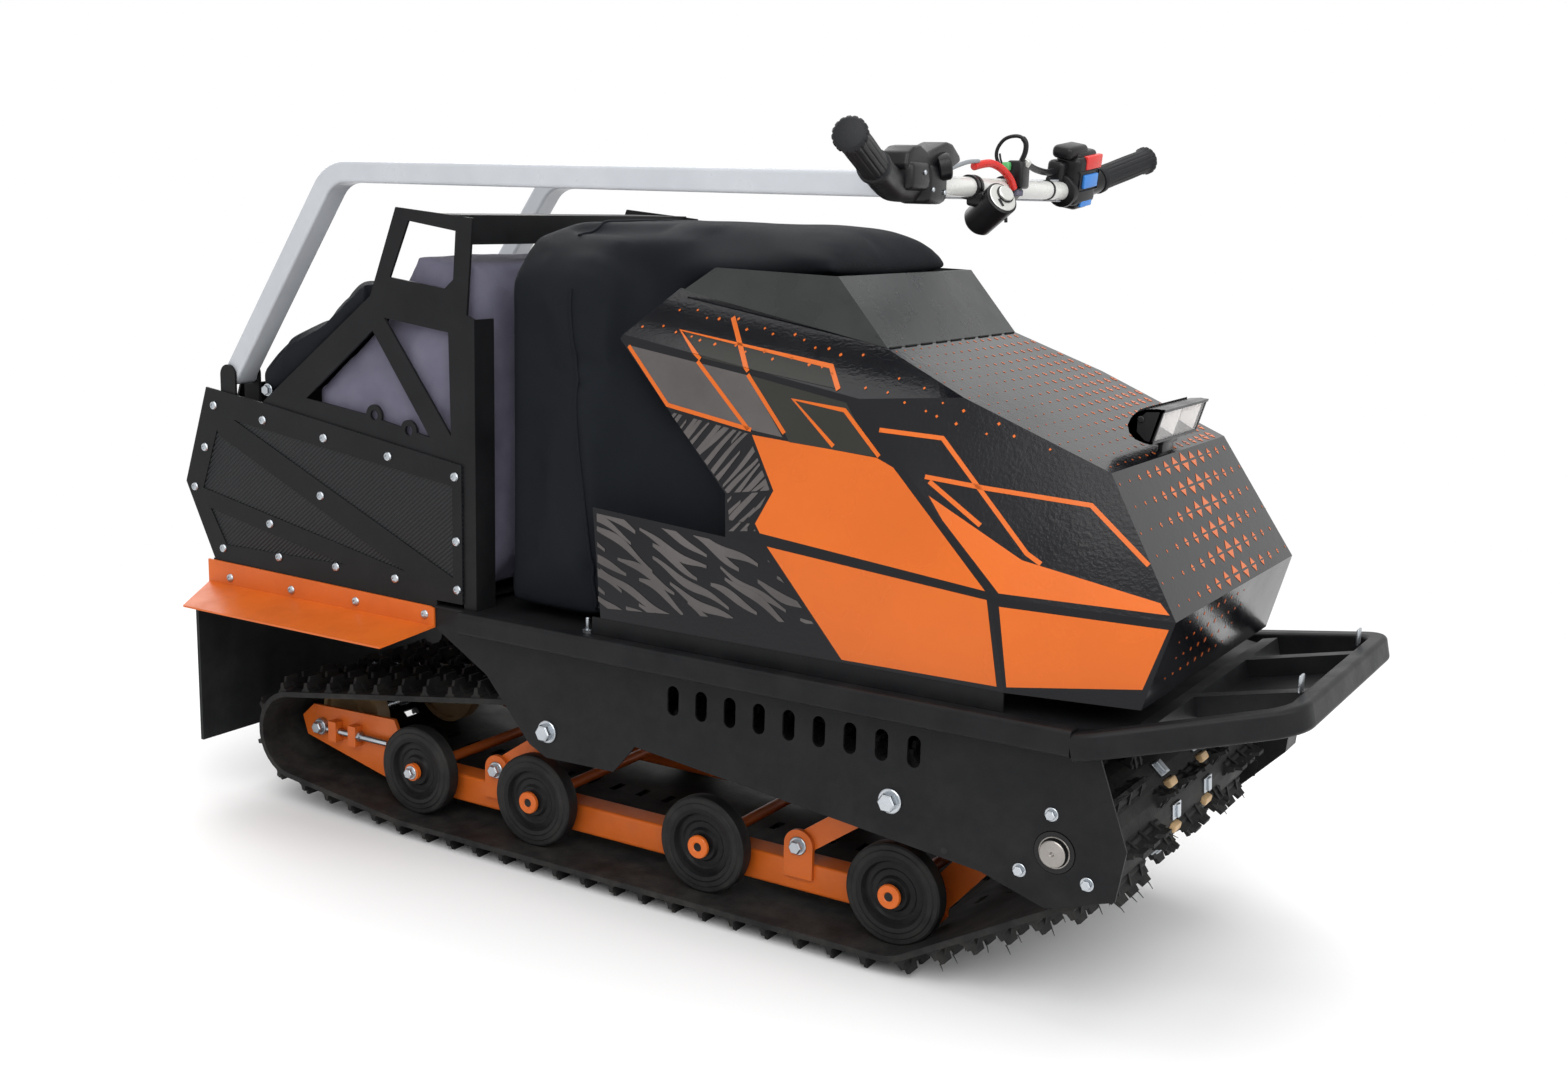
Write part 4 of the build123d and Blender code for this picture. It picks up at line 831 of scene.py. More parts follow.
class Placer:
    """Copies a shape to many spots with one Geometry Nodes tree."""

    def __init__(self) -> None:
        """Builds the tree."""
        self.ids: dict[str, str] = {}
        self.tree = self._tree()

    def _tree(self) -> NodeTree:
        """Makes the tree: shape on points, turned and sized by attributes, one finish.

        Returns:
            The tree.
        """
        tree = bpy.data.node_groups.new("shape_on_spots", "GeometryNodeTree")
        face = tree.interface
        face.new_socket(name="Geometry", in_out="INPUT", socket_type="NodeSocketGeometry")
        for label, kind in (("Shape", "NodeSocketObject"), ("Finish", "NodeSocketMaterial"),
                            ("Scale", "NodeSocketFloat")):
            socket = face.new_socket(name=label, in_out="INPUT", socket_type=kind)
            self.ids[label] = socket.identifier
        face.new_socket(name="Geometry", in_out="OUTPUT", socket_type="NodeSocketGeometry")
        bench = NodeBench(tree)
        given = tree.nodes.new("NodeGroupInput").outputs
        read = {}
        for label, kind in (("turn", "FLOAT_VECTOR"), ("size", "FLOAT")):
            node = bench.put("GeometryNodeInputNamedAttribute", {"Name": label})
            node.data_type = kind
            read[label] = node.outputs["Attribute"]
        shape = bench.put("GeometryNodeObjectInfo", {"Object": given["Shape"]})
        turn = bench.put("FunctionNodeEulerToRotation", {"Euler": read["turn"]})
        copies = bench.put("GeometryNodeInstanceOnPoints", {
            "Points": given["Geometry"], "Instance": shape.outputs["Geometry"],
            "Rotation": turn.outputs["Rotation"],
            "Scale": bench.reckon("MULTIPLY", read["size"], given["Scale"])})
        real = bench.put("GeometryNodeRealizeInstances", {"Geometry": copies.outputs["Instances"]})
        paint = bench.put("GeometryNodeSetMaterial", {"Geometry": real.outputs["Geometry"],
                                                      "Material": given["Finish"]})
        bench.put("NodeGroupOutput", {"Geometry": paint.outputs["Geometry"]})
        return tree

    def place(self, name: str, shape: Object, spots: Sequence[Spot],
              finish: Material) -> Object:
        """Makes one plain mesh of a shape at every spot.

        Args:
            name: The new piece's name.
            shape: The shape at the origin, which is removed here.
            spots: The places.
            finish: The material.

        Returns:
            The piece.
        """
        points = bpy.data.meshes.new(name + "_spots")
        points.from_pydata([spot.at for spot in spots], [], [])
        points.attributes.new("turn", "FLOAT_VECTOR", "POINT")
        points.attributes.new("size", "FLOAT", "POINT")
        for i, spot in enumerate(spots):
            points.attributes["turn"].data[i].vector = spot.turn().to_euler()
            points.attributes["size"].data[i].value = spot.size
        holder = bpy.data.objects.new(name + "_holder", points)
        bpy.context.scene.collection.objects.link(holder)
        modifier = holder.modifiers.new("spots", "NODES")
        modifier.node_group = self.tree
        modifier[self.ids["Shape"]] = shape
        modifier[self.ids["Finish"]] = finish
        modifier[self.ids["Scale"]] = 1.0
        bpy.context.view_layer.update()
        graph = bpy.context.evaluated_depsgraph_get()
        mesh = bpy.data.meshes.new_from_object(holder.evaluated_get(graph))
        mesh.name = name
        piece = bpy.data.objects.new(name, mesh)
        bpy.context.scene.collection.objects.link(piece)
        bpy.data.objects.remove(holder)
        bpy.data.objects.remove(shape)
        return piece


class Studio:
    """The pale floor, the soft lights and the white surroundings."""

    lights = (
        # name, place, energy, size
        ("key", (1.6, -3.4, 3.6), 120.0, 3.2),
        ("fill", (3.6, -1.0, 2.4), 55.0, 2.6),
        ("rear", (-3.2, 1.6, 3.0), 60.0, 2.8),
        ("top", (0.0, 0.4, 4.2), 70.0, 3.6),
    )

    def build(self) -> None:
        """Builds the floor, the world and the lights."""
        self._floor()
        self._world()
        for name, place, energy, size in self.lights:
            lamp = bpy.data.lights.new(name, "AREA")
            lamp.energy = energy
            lamp.size = size
            holder = bpy.data.objects.new(name, lamp)
            holder.location = place
            aim = Vector((0, 0, 0.5)) - Vector(place)
            holder.rotation_euler = aim.to_track_quat("-Z", "Y").to_euler()
            bpy.context.scene.collection.objects.link(holder)

    @staticmethod
    def _seen(bench: NodeBench) -> NodeSocket:
        """A 1 for rays from the camera, from gloss and through glass, otherwise 0.

        Args:
            bench: The bench of the material or the world.

        Returns:
            The number's socket.
        """
        path = bench.tree.nodes.new("ShaderNodeLightPath").outputs
        near = bench.reckon("MAXIMUM", path["Is Camera Ray"], path["Is Glossy Ray"])
        return bench.reckon("MAXIMUM", near, path["Is Transmission Ray"])

    def _floor(self) -> None:
        """Makes the floor that the machine stands on."""
        bm = bmesh.new()
        bmesh.ops.create_grid(bm, x_segments=1, y_segments=1, size=14.0)
        floor = MeshShop.publish("floor", bm, tidy=False)
        material = bpy.data.materials.new("pale_floor")
        material.use_nodes = True
        bench = NodeBench(material.node_tree)
        nodes = bench.tree.nodes
        shader = nodes["Principled BSDF"]
        shader.inputs["Base Color"].default_value = (0.93, 0.93, 0.93, 1.0)
        shader.inputs["Roughness"].default_value = 0.85
        shader.inputs["Specular IOR Level"].default_value = 0.1
        reach = bench.put("ShaderNodeVectorMath", {0: nodes.new("ShaderNodeTexCoord").outputs["Object"]})
        reach.operation = "LENGTH"
        fade = bench.spread(reach.outputs["Value"], from_min=1.1, from_max=2.4)
        mix = bench.put("ShaderNodeMixShader", {
            0: bench.reckon("MULTIPLY", fade, self._seen(bench)), 1: shader.outputs["BSDF"],
            2: nodes.new("ShaderNodeEmission").outputs["Emission"]})
        bench.join(mix.outputs["Shader"], nodes["Material Output"].inputs["Surface"])
        floor.data.materials.append(material)

    def _world(self) -> None:
        """Makes the white surroundings."""
        world = bpy.data.worlds.new("white_room")
        bpy.context.scene.world = world
        world.use_nodes = True
        bench = NodeBench(world.node_tree)
        sky = bench.tree.nodes["Background"]
        sky.inputs["Color"].default_value = (1.0, 1.0, 1.0, 1.0)
        bench.join(bench.spread(self._seen(bench), to_min=0.62, to_max=1.0), sky.inputs["Strength"])


@dataclass(frozen=True)
class ViewCamera:
    """The camera at the photographed viewing angle."""

    place: Point = (1.320, -2.044, 0.960)
    yaw: float = 31.297
    pitch: float = 11.296
    roll: float = 1.556
    lens: float = 39.65

    def build(self) -> None:
        """Puts the camera in the scene."""
        yaw, pitch, roll = (math.radians(a) for a in (self.yaw, self.pitch, self.roll))
        ahead = Vector((-math.sin(yaw) * math.cos(pitch), math.cos(yaw) * math.cos(pitch),
                        -math.sin(pitch)))
        level = Vector((math.cos(yaw), math.sin(yaw), 0.0))
        up = level.cross(ahead)
        right = level * math.cos(roll) + up * math.sin(roll)
        top = up * math.cos(roll) - level * math.sin(roll)
        lens = bpy.data.cameras.new("view")
        lens.lens = self.lens
        lens.sensor_width = 36.0
        holder = bpy.data.objects.new("view", lens)
        turn = Matrix((right, top, -ahead)).transposed().to_4x4()
        holder.matrix_world = Matrix.Translation(self.place) @ turn
        bpy.context.scene.collection.objects.link(holder)
        bpy.context.scene.camera = holder


@dataclass
class LoopLine:
    """The closed line of a belt round its wheels, in the XZ plane, in millimetres."""

    # x, z and radius, anticlockwise seen from the right with the front to the right
    wheels: tuple[Point, ...] = (
        (-428.0, 97.5, 67.5), (382.0, 97.5, 67.5), (618.0, 226.0, 64.0), (-129.0, 230.0, 30.0),
        (-654.0, 118.0, 62.0))
    step: float = 2.0
    samples: list[tuple[float, float, float, float]] = field(default_factory=list)
    walked: list[float] = field(default_factory=list)

    def __post_init__(self) -> None:
        """Samples the line at even steps."""
        count = len(self.wheels)
        normals = []
        for i, (ax, az, ar) in enumerate(self.wheels):
            bx, bz, br = self.wheels[(i + 1) % count]
            gap = math.hypot(bx - ax, bz - az)
            ux, uz = (bx - ax) / gap, (bz - az) / gap
            lean = (ar - br) / gap
            rest = math.sqrt(1 - lean * lean)
            normals.append(math.atan2(uz * lean - ux * rest, ux * lean + uz * rest))
        for i, (x, z, r) in enumerate(self.wheels):
            start = normals[i - 1]
            sweep = (normals[i] - start) % (2 * math.pi)
            pieces = max(int(r * sweep / self.step), 2)
            for k in range(pieces + 1):
                a = start + sweep * k / pieces
                self.samples.append((x + r * math.cos(a), z + r * math.sin(a), math.cos(a), math.sin(a)))
        self.samples.append(self.samples[0])
        self.walked.append(0.0)
        for a, b in zip(self.samples, self.samples[1:]):
            self.walked.append(self.walked[-1] + math.hypot(b[0] - a[0], b[1] - a[1]))

    def at(self, share: float) -> tuple[Vector, Vector]:
        """A place on the line and the way out of the loop there.

        Args:
            share: The share of the way round.

        Returns:
            The place in metres and the outward normal.
        """
        goal = (share % 1.0) * self.walked[-1]
        high = min(bisect_right(self.walked, goal), len(self.walked) - 1)
        low = high - 1
        span = self.walked[high] - self.walked[low]
        t = (goal - self.walked[low]) / span if span > 1e-9 else 0.0
        a, b = self.samples[low], self.samples[high]
        mix = [a[k] + (b[k] - a[k]) * t for k in range(4)]
        return mm(mix[0], 0, mix[1]), unit(Vector((mix[2], 0, mix[3])))


@dataclass
class BeltTrack:
    """The rubber track: its belt with drive windows, its lugs and its clips."""

    shop: Workshop
    line: LoopLine = field(default_factory=LoopLine)
    width: float = 500.0
    belt: float = 8.0
    lug_height: float = 22.0
    pitches: int = 60
    window_columns: tuple[Flat, ...] = ((-75.0, -45.0), (45.0, 75.0))
    lug_runs: tuple[tuple[str, float, tuple[Flat, ...]], ...] = (
        # name, share of a pitch, stretches across the belt
        ("track_lugs_middle", 0.5, ((-118.0, -80.0), (-40.0, 40.0), (80.0, 118.0))),
        ("track_lugs_side", 0.0, ((-247.0, -128.0), (128.0, 247.0))))
    wall_share: float = 0.62
    # x and z in metres, past which the sprockets' teeth stand in the windows
    teeth_from: Flat = (0.6, 0.19)
    hair_rows: tuple[float, ...] = (-236.0, -205.0, -176.0, -146.0, 150.0, 190.0, 231.0)
    bare_share: float = 0.35

    def build(self) -> None:
        """Builds the belt, its lugs with their flash hairs, its clips and the teeth in its windows."""
        self._belt()
        self._lugs()
        self._clips()
        self._teeth()
        self._hairs()

    def _belt(self) -> None:
        """Makes the belt with a window in each column at each pitch."""
        rows = self.pitches * 4
        edges = [-self.width / 2]
        for low, high in self.window_columns:
            edges += [low, high]
        edges.append(self.width / 2)
        holes = set(self.window_columns)
        bm = bmesh.new()
        grid: dict[tuple[int, int, int], BMVert] = {}
        for i in range(rows):
            place, out = self.line.at(i / rows)
            for j, y in enumerate(edges):
                for layer, lift in ((0, 0.0), (1, self.belt)):
                    grid[i, j, layer] = bm.verts.new(place + out * (lift * MM) + Vector((0, y * MM, 0)))
        columns = len(edges) - 1

        def open_cell(i: int, j: int) -> bool:
            """Whether a cell of the belt is cut away, or lies past its edge."""
            return not 0 <= j < columns or (i % 4 == 2 and (edges[j], edges[j + 1]) in holes)

        def wall(*corners: tuple[int, int, int]) -> None:
            """Adds a face between points of the grid."""
            bm.faces.new([grid[corner] for corner in corners])

        for i in range(rows):
            n = (i + 1) % rows
            for j in range(columns):
                if open_cell(i, j):
                    continue
                k = j + 1
                wall((i, j, 1), (i, k, 1), (n, k, 1), (n, j, 1))
                wall((i, j, 0), (n, j, 0), (n, k, 0), (i, k, 0))
                if open_cell(i, j - 1):
                    wall((i, j, 0), (i, j, 1), (n, j, 1), (n, j, 0))
                if open_cell(i, k):
                    wall((i, k, 0), (n, k, 0), (n, k, 1), (i, k, 1))
                if open_cell((i - 1) % rows, j):
                    wall((i, j, 0), (i, k, 0), (i, k, 1), (i, j, 1))
                if open_cell(n, j):
                    wall((n, j, 0), (n, j, 1), (n, k, 1), (n, k, 0))
        self.shop.make("track_belt", bm, "belt_rubber", "track_rubber", ("track",))

    def _spots(self, phase: float, lift: float) -> list[Spot]:
        """Spots at every pitch, over the belt's outside.

        Args:
            phase: The share of a pitch by which they are shifted.
            lift: Their height over the belt's inside in millimetres.

        Returns:
            The spots, their Z out of the loop and their X across the belt.
        """
        spots = []
        for pitch in range(self.pitches):
            place, out = self.line.at((pitch + phase) / self.pitches)
            spots.append(Spot(place + out * (lift * MM), out, LEFT))
        return spots

    def _lug_shape(self, runs: Sequence[Flat], notch: float) -> Object:
        """One cross lug: a low tapered wall with taller fingers and short buttresses.

        Args:
            runs: The stretches across the track that the wall covers.
            notch: How far the wall's ends lean in.

        Returns:
            The lug at the origin, its length along X and its tip along Z.
        """
        bm = bmesh.new()
        wall = self.lug_height * self.wall_share
        for low, high in runs:
            profile = ((-9.0, -1.0), (9.0, -1.0), (8.0, 2.5), (4.2, 5.0), (3.0, wall), (-3.0, wall),
                       (-4.2, 5.0), (-8.0, 2.5))
            near = [bm.verts.new(mm(low + notch * max(z, 0) / wall, y, z)) for y, z in profile]
            far = [bm.verts.new(mm(high - notch * max(z, 0) / wall, y, z)) for y, z in profile]
            bm.faces.new(near)
            bm.faces.new(list(reversed(far)))
            for k in range(len(profile)):
                n = (k + 1) % len(profile)
                bm.faces.new((near[n], near[k], far[k], far[n]))
            fingers = max(round((high - low) / 40), 2)
            for f in range(fingers):
                left = low + notch + (high - low - 2 * notch) * (f + 0.12) / fingers
                right = low + notch + (high - low - 2 * notch) * (f + 0.88) / fingers
                lean = 5.0 if f % 2 else 2.0
                MeshShop.prism(bm, [mm(left, 2.8, wall - 4), mm(right, 2.8, wall - 4),
                                    mm(right - lean, 2.2, self.lug_height),
                                    mm(left + 7.0 - lean, 2.2, self.lug_height)], mm(0, -4.8, 0))
                x = (left + right) / 2
                MeshShop.prism(bm, [mm(x - 2.5, -12, -0.5), mm(x - 2.5, 12, -0.5), mm(x - 2.5, 3.0, 13),
                                    mm(x - 2.5, -3.0, 13)], mm(5, 0, 0))
        return MeshShop.publish("lug_shape", bm, tidy=False)

    def _lugs(self) -> None:
        """Places the lugs, whose middle and side runs take turns."""
        rubber = self.shop.paint.material("belt_rubber")
        for name, phase, runs in self.lug_runs:
            shape = self._lug_shape(runs, 3.0)
            lugs = self.shop.placer.place(name, shape, self._spots(phase, self.belt), rubber)
            self.shop.settle(lugs, "belt_rubber", CHASSIS, "track_rubber")

    def _clips(self) -> None:
        """Places a folded steel clip between the windows of each column."""
        spots = []
        for spot in self._spots(0.0, self.belt):
            for low, high in self.window_columns:
                spots.append(Spot(spot.at + Vector((0, (low + high) / 2 * MM, 0)), spot.out, spot.along))
        bm = bmesh.new()
        MeshShop.block(bm, mm(0, 0, 0.8), mm(28, 20, 3.2), bevel=0.0012, steps=2)
        MeshShop.block(bm, mm(0, 0, 3.4), mm(9, 18, 4.5), bevel=0.0016, steps=2)
        shape = MeshShop.publish("clip_shape", bm)
        clips = self.shop.placer.place("track_clips", shape, spots, self.shop.paint.material("zinc"))
        self.shop.settle(clips, "zinc", CHASSIS, "zinc_steel")

    def _teeth(self) -> None:
        """Shows the sprockets' teeth where they stand in the windows round the drive shaft."""
        bm = bmesh.new()
        for spot in self._spots(0.625, self.belt):
            if spot.at.x < self.teeth_from[0] or spot.at.z < self.teeth_from[1]:
                continue
            for low, high in self.window_columns:
                MeshShop.block(bm, spot.at + Vector((0, (low + high) / 2 * MM, 0)) - spot.out * 0.001,
                               mm(24, 11, 16), spot.turn(), 0.003, 2)
        self.shop.make("drive_teeth", bm, "tan_nylon", "tan_plastic", crease=40.0)

    def _hairs(self) -> None:
        """Adds the thin moulding hairs that a new belt has on its lugs, where it leaves the ground."""
        chance = Random(5)
        bm = bmesh.new()
        for spot in self._spots(0.0, self.belt + self.lug_height - 3):
            if spot.at.x < 0.40 or spot.out.x < 0.15:
                continue
            for y in self.hair_rows:
                if chance.random() < self.bare_share:
                    continue
                start = spot.at + Vector((0, (y + chance.uniform(-6, 6)) * MM, 0))
                lean = Vector((chance.uniform(-0.2, 0.35), chance.uniform(-0.12, 0.12),
                               chance.uniform(-0.35, 0.1)))
                way = unit(spot.out + lean)
                length = chance.uniform(0.007, 0.015)
                path = [start, start + way * (length * 0.5), start + way * length + Vector((0, 0, -0.001))]
                path = [point for point in path if point.z > 0.001]
                if len(path) == 3:
                    MeshShop.tube(bm, path, lambda share: 0.0009 - 0.0005 * share, 6)
        self.shop.make("lug_hairs", bm, "belt_rubber", "track_rubber", tidy=False)


@dataclass
class Wheels:
    """The rollers, turned with their rings, webs and bosses."""

    shop: Workshop
    xs: tuple[float, ...] = (382.0, 91.0, -203.0, -428.0)
    z: float = 97.5
    y: float = 203.5
    half: float = 12.5
    radius: float = 67.5
    hub: float = 51.5
    collar_face: float = 219.5
    bore_face: float = 223.4

    def build(self) -> None:
        """Turns the tyres and hubs at every axle, and at the front three the collars, each with a thin dark
        disc of painted shade for its bore.
        """
        r, h, w = self.radius * MM, self.hub * MM, self.half * MM
        tyre = ((h, -w), (r - 0.010, -w), (r - 0.0085, -w + 0.0012), (r - 0.003, -w + 0.0012),
                (r - 0.0006, -w + 0.003), (r, -w + 0.006), (r, w - 0.006), (r - 0.0006, w - 0.003),
                (r - 0.003, w - 0.0012), (r - 0.0085, w - 0.0012), (r - 0.010, w), (h, w))
        rim = ((h, -w), (h, w), (h - 0.002, w + 0.0006), (h - 0.007, w - 0.001), (h - 0.0085, w - 0.004),
               (h - 0.010, 0.0055), (0.034, 0.0075), (0.031, 0.0050), (0.024, 0.0060), (0.021, 0.0105),
               (0.010, 0.0115), (0.008, 0.0105), (0.008, -0.0105), (0.010, -0.0115), (0.021, -0.0105),
               (0.024, -0.0060), (0.031, -0.0050), (0.034, -0.0075), (h - 0.010, -0.0055),
               (h - 0.0085, -w + 0.004), (h - 0.007, -w + 0.001), (h - 0.002, -w - 0.0006))
        for name, profile, finish, slot, node in (
                ("wheel_tyres", tyre, "wheel_rubber", "roller_rubber", "roller_tyres"),
                ("wheel_hubs", rim, "black_powder", "black_coat", "roller_hubs")):
            bm = bmesh.new()
            for _, side in SIDES:
                for x in self.xs:
                    MeshShop.ring(bm, mm(x, side * self.y, self.z), LEFT * side, profile, 72)
            self.shop.make(name, bm, finish, slot, (node,), crease=32.0)
        collar = ((0.0060, 0.0), (0.0158, 0.0), (0.0158, 0.0042), (0.0148, 0.0054), (0.0072, 0.0054),
                  (0.0060, 0.0042))
        # a thin black disc that paints the shade inside each collar's bore
        painted_bore_shade = ((0, 0.0), (0.0060, 0.0), (0.0060, 0.0003), (0, 0.0003))
        for name, profile, face, steps, finish, slot in (
                ("axle_collars", collar, self.collar_face, 40, "orange_powder", "orange_paint"),
                ("axle_bores", painted_bore_shade, self.bore_face, 32, "belt_rubber", "black_coat")):
            bm = bmesh.new()
            for _, side in SIDES:
                for x in self.xs[:-1]:
                    MeshShop.ring(bm, mm(x, side * face, self.z), LEFT * side, profile, steps)
            self.shop.make(name, bm, finish, slot, crease=32.0)


@dataclass(frozen=True)
class Facet:
    """A flat face of the hood's side, by three corners of its right half."""

    a: Point
    b: Point
    c: Point

    def terms(self) -> Point:
        """The numbers k, p and q for which the face lies k + p x + q z from the middle.

        Returns:
            The three numbers.
        """
        ax, ay, az = self.a
        bx, by, bz = self.b
        cx, cy, cz = self.c
        span = (bx - ax) * (cz - az) - (cx - ax) * (bz - az)
        p = ((by - ay) * (cz - az) - (cy - ay) * (bz - az)) / span
        q = ((bx - ax) * (cy - ay) - (cx - ax) * (by - ay)) / span
        return ay - p * ax - q * az, p, q

    def outward(self, side: float) -> Vector:
        """The face's outward normal on one side of the machine."""
        _, p, q = self.terms()
        return unit(Vector((-p, side, -q)))

    def spread(self, x: float, z: float) -> float:
        """The face's distance from the middle plane at x and z."""
        k, p, q = self.terms()
        return k + p * x + q * z

    def spot(self, x: float, z: float, side: float) -> Vector:
        """The face's point at x and z, in metres."""
        return mm(x, side * self.spread(x, z), z)


LOW_REAR = (-53.0, 270.0, 552.0)
LOW_FRONT = (521.0, 270.0, 514.0)
NOSE_LOW = (729.0, 232.0, 508.0)
NOSE_TOP = (633.0, 205.0, 662.0)
NOSE_FOOT = (704.0, 240.0, 420.0)
SKIRT_FOOT = (544.0, 270.0, 404.0)
CREST_FRONT = (308.0, 245.0, 727.0)
CREST_REAR = (-31.0, 248.0, 772.0)
BEND_FRONT = (332.0, 189.0, 781.0)
FACETS = (
    Facet(LOW_REAR, LOW_FRONT, CREST_FRONT),
    Facet(LOW_FRONT, NOSE_LOW, NOSE_TOP),
    Facet(LOW_FRONT, NOSE_LOW, SKIRT_FOOT),
    Facet(CREST_REAR, CREST_FRONT, BEND_FRONT),
    Facet(LOW_REAR, LOW_FRONT, SKIRT_FOOT),
)


def nearest_facet(x: float, z: float) -> Facet:
    """The side face that is the hood's skin at x and z."""
    return min(FACETS, key=lambda facet: facet.spread(x, z))


def lay_on_facets(outline: Sequence[Flat]) -> list[tuple[Facet, list[Flat]]]:
    """Splits a side view's outline into the pieces that lie on each face.

    Args:
        outline: The outline's corners as x and z in millimetres.

    Returns:
        Each face with its piece of the outline.
    """
    laid = []
    for facet in FACETS:
        piece = list(outline)
        k, p, q = facet.terms()
        for other in FACETS:
            if other is facet or len(piece) < 3:
                continue
            ok, op, oq = other.terms()
            piece = clip_flat(piece, (p - op, q - oq), ok - k)
        if len(piece) >= 3:
            laid.append((facet, piece))
    return laid


@dataclass
class HoodLivery:
    """Stripes and panels of thin film on the hood's flat faces."""

    shop: Workshop
    lift: float = 0.15
    thick: float = 0.35
    step_up: float = 0.17
    stripe: float = 5.2
    band_pitch: float = 15.0
    band_step: float = 7.0
    thinnest: float = 1.7
    panels: tuple[tuple[str, tuple[Flat, ...]], ...] = (
        ("orange_film", ((182, 668), (358, 657), (381, 648), (514, 520), (206, 549), (198, 560),
                         (220, 603))),
        ("grey_film", ((-18, 765), (54, 693), (178, 674), (226, 669), (168, 740))),
        ("charcoal_film", ((173, 740), (229, 674), (236, 664), (356, 658), (310, 718))),
        ("charcoal_film", ((100, 756), (54, 787), (270, 757), (293, 733))),
        ("orange_film", ((218, 534), (517, 510), (535, 410), (329, 408))),
        ("orange_film", ((430, 620), (550, 558), (709, 527), (721, 515), (530, 519), (451, 594))),
        ("orange_film", ((532, 504), (722, 499), (699, 428), (547, 411))),
    )
    # areas with convex outlines that wavy bands fill
    bands: tuple[tuple[Flat, ...], ...] = (
        ((55, 686), (176, 669), (215, 603), (153, 593)),
        ((153, 591), (213, 601), (194, 560), (160, 560)),
        ((160, 559), (194, 559), (200, 551), (160, 546)),
        ((-46, 545), (132, 533), (210, 528), (292, 442), (45, 424), (-42, 416)),
    )
    lines: tuple[tuple[Flat, ...], ...] = (
        ((-16, 764), (52, 694), (180, 674)),
        ((92, 752), (176, 674)),
        ((168, 741), (228, 674)),
        ((298, 665), (236, 716), (309, 709), (361, 659)),
        ((96, 755), (50, 787), (273, 757), (296, 732)),
        ((168, 745), (112, 806)),
        ((358, 690), (435, 686), (554, 566), (572, 556)),
        ((422, 641), (493, 634), (617, 625), (690, 566)),
        ((428, 636), (496, 592)),
    )
    # convex areas of the side view with small dots, and the dots' spacing
    speckled: tuple[tuple[tuple[Flat, ...], float], ...] = (
        (((-20, 780), (26, 830), (318, 778), (300, 737)), 23.0),
        (((318, 730), (338, 774), (600, 674), (470, 694)), 22.0),
    )

    def build(self) -> None:
        """Lays the panels, the bands, the lines and the dots on both sides."""
        groups: dict[str, BMesh] = {}

        def mesh_of(finish: str) -> BMesh:
            """The mesh that collects one finish's pieces."""
            bm = groups.get(finish)
            return groups.setdefault(finish, bmesh.new()) if bm is None else bm

        for _, side in SIDES:
            for finish, outline in self.panels:
                self._film(mesh_of(finish), outline, side, self.lift)
            for number, area in enumerate(self.bands):
                self._wavy(mesh_of("grey_film"), area, side, Random(7 + number))
            for line in self.lines:
                self._line(mesh_of("orange_film"), line, side)
            for area, pitch in self.speckled:
                self._specks(mesh_of("orange_film"), area, pitch, side)
        self._dots(mesh_of("orange_film"))
        for finish, bm in groups.items():
            self.shop.make(f"livery_{finish}", bm, finish, "hood_paint", tidy=False)

    def _film(self, bm: BMesh, outline: Sequence[Flat], side: float, lift: float) -> None:
        """Adds closed pieces of film for an outline, one on each face that it covers.

        Args:
            bm: The mesh that they join.
            outline: The outline as x and z.
            side: -1 for the right, 1 for the left.
            lift: The film's height over the paint in millimetres.
        """
        for facet, piece in lay_on_facets(outline):
            normal = facet.outward(side)
            corners = [facet.spot(x, z, side) + normal * (lift * MM) for x, z in piece]
            turn = sum((b - corners[0]).cross(c - corners[0]).dot(normal)
                       for b, c in zip(corners[1:], corners[2:]))
            if turn > 0:
                corners.reverse()
            if abs(turn) > 1e-7:
                MeshShop.prism(bm, corners, normal * (self.thick * MM))

    def _line(self, bm: BMesh, line: Sequence[Flat], side: float) -> None:
        """Adds a stripe along a line of points, its corners mitred.

        Args:
            bm: The mesh that it joins.
            line: The points as x and z.
            side: -1 for the right, 1 for the left.
        """
        half = self.stripe / 2
        edges: list[tuple[Flat, Flat]] = []
        for i, (x, z) in enumerate(line):
            ways = []
            if i:
                ways.append((x - line[i - 1][0], z - line[i - 1][1]))
            if i + 1 < len(line):
                ways.append((line[i + 1][0] - x, line[i + 1][1] - z))
            sides = [(-wz / math.hypot(wx, wz), wx / math.hypot(wx, wz)) for wx, wz in ways]
            nx = sum(s[0] for s in sides) / len(sides)
            nz = sum(s[1] for s in sides) / len(sides)
            grow = half / max(nx * nx + nz * nz, 0.25)
            edges.append(((x + nx * grow, z + nz * grow), (x - nx * grow, z - nz * grow)))
        for (a, b), (c, d) in zip(edges, edges[1:]):
            self._film(bm, (a, b, d, c), side, self.lift + self.thick)

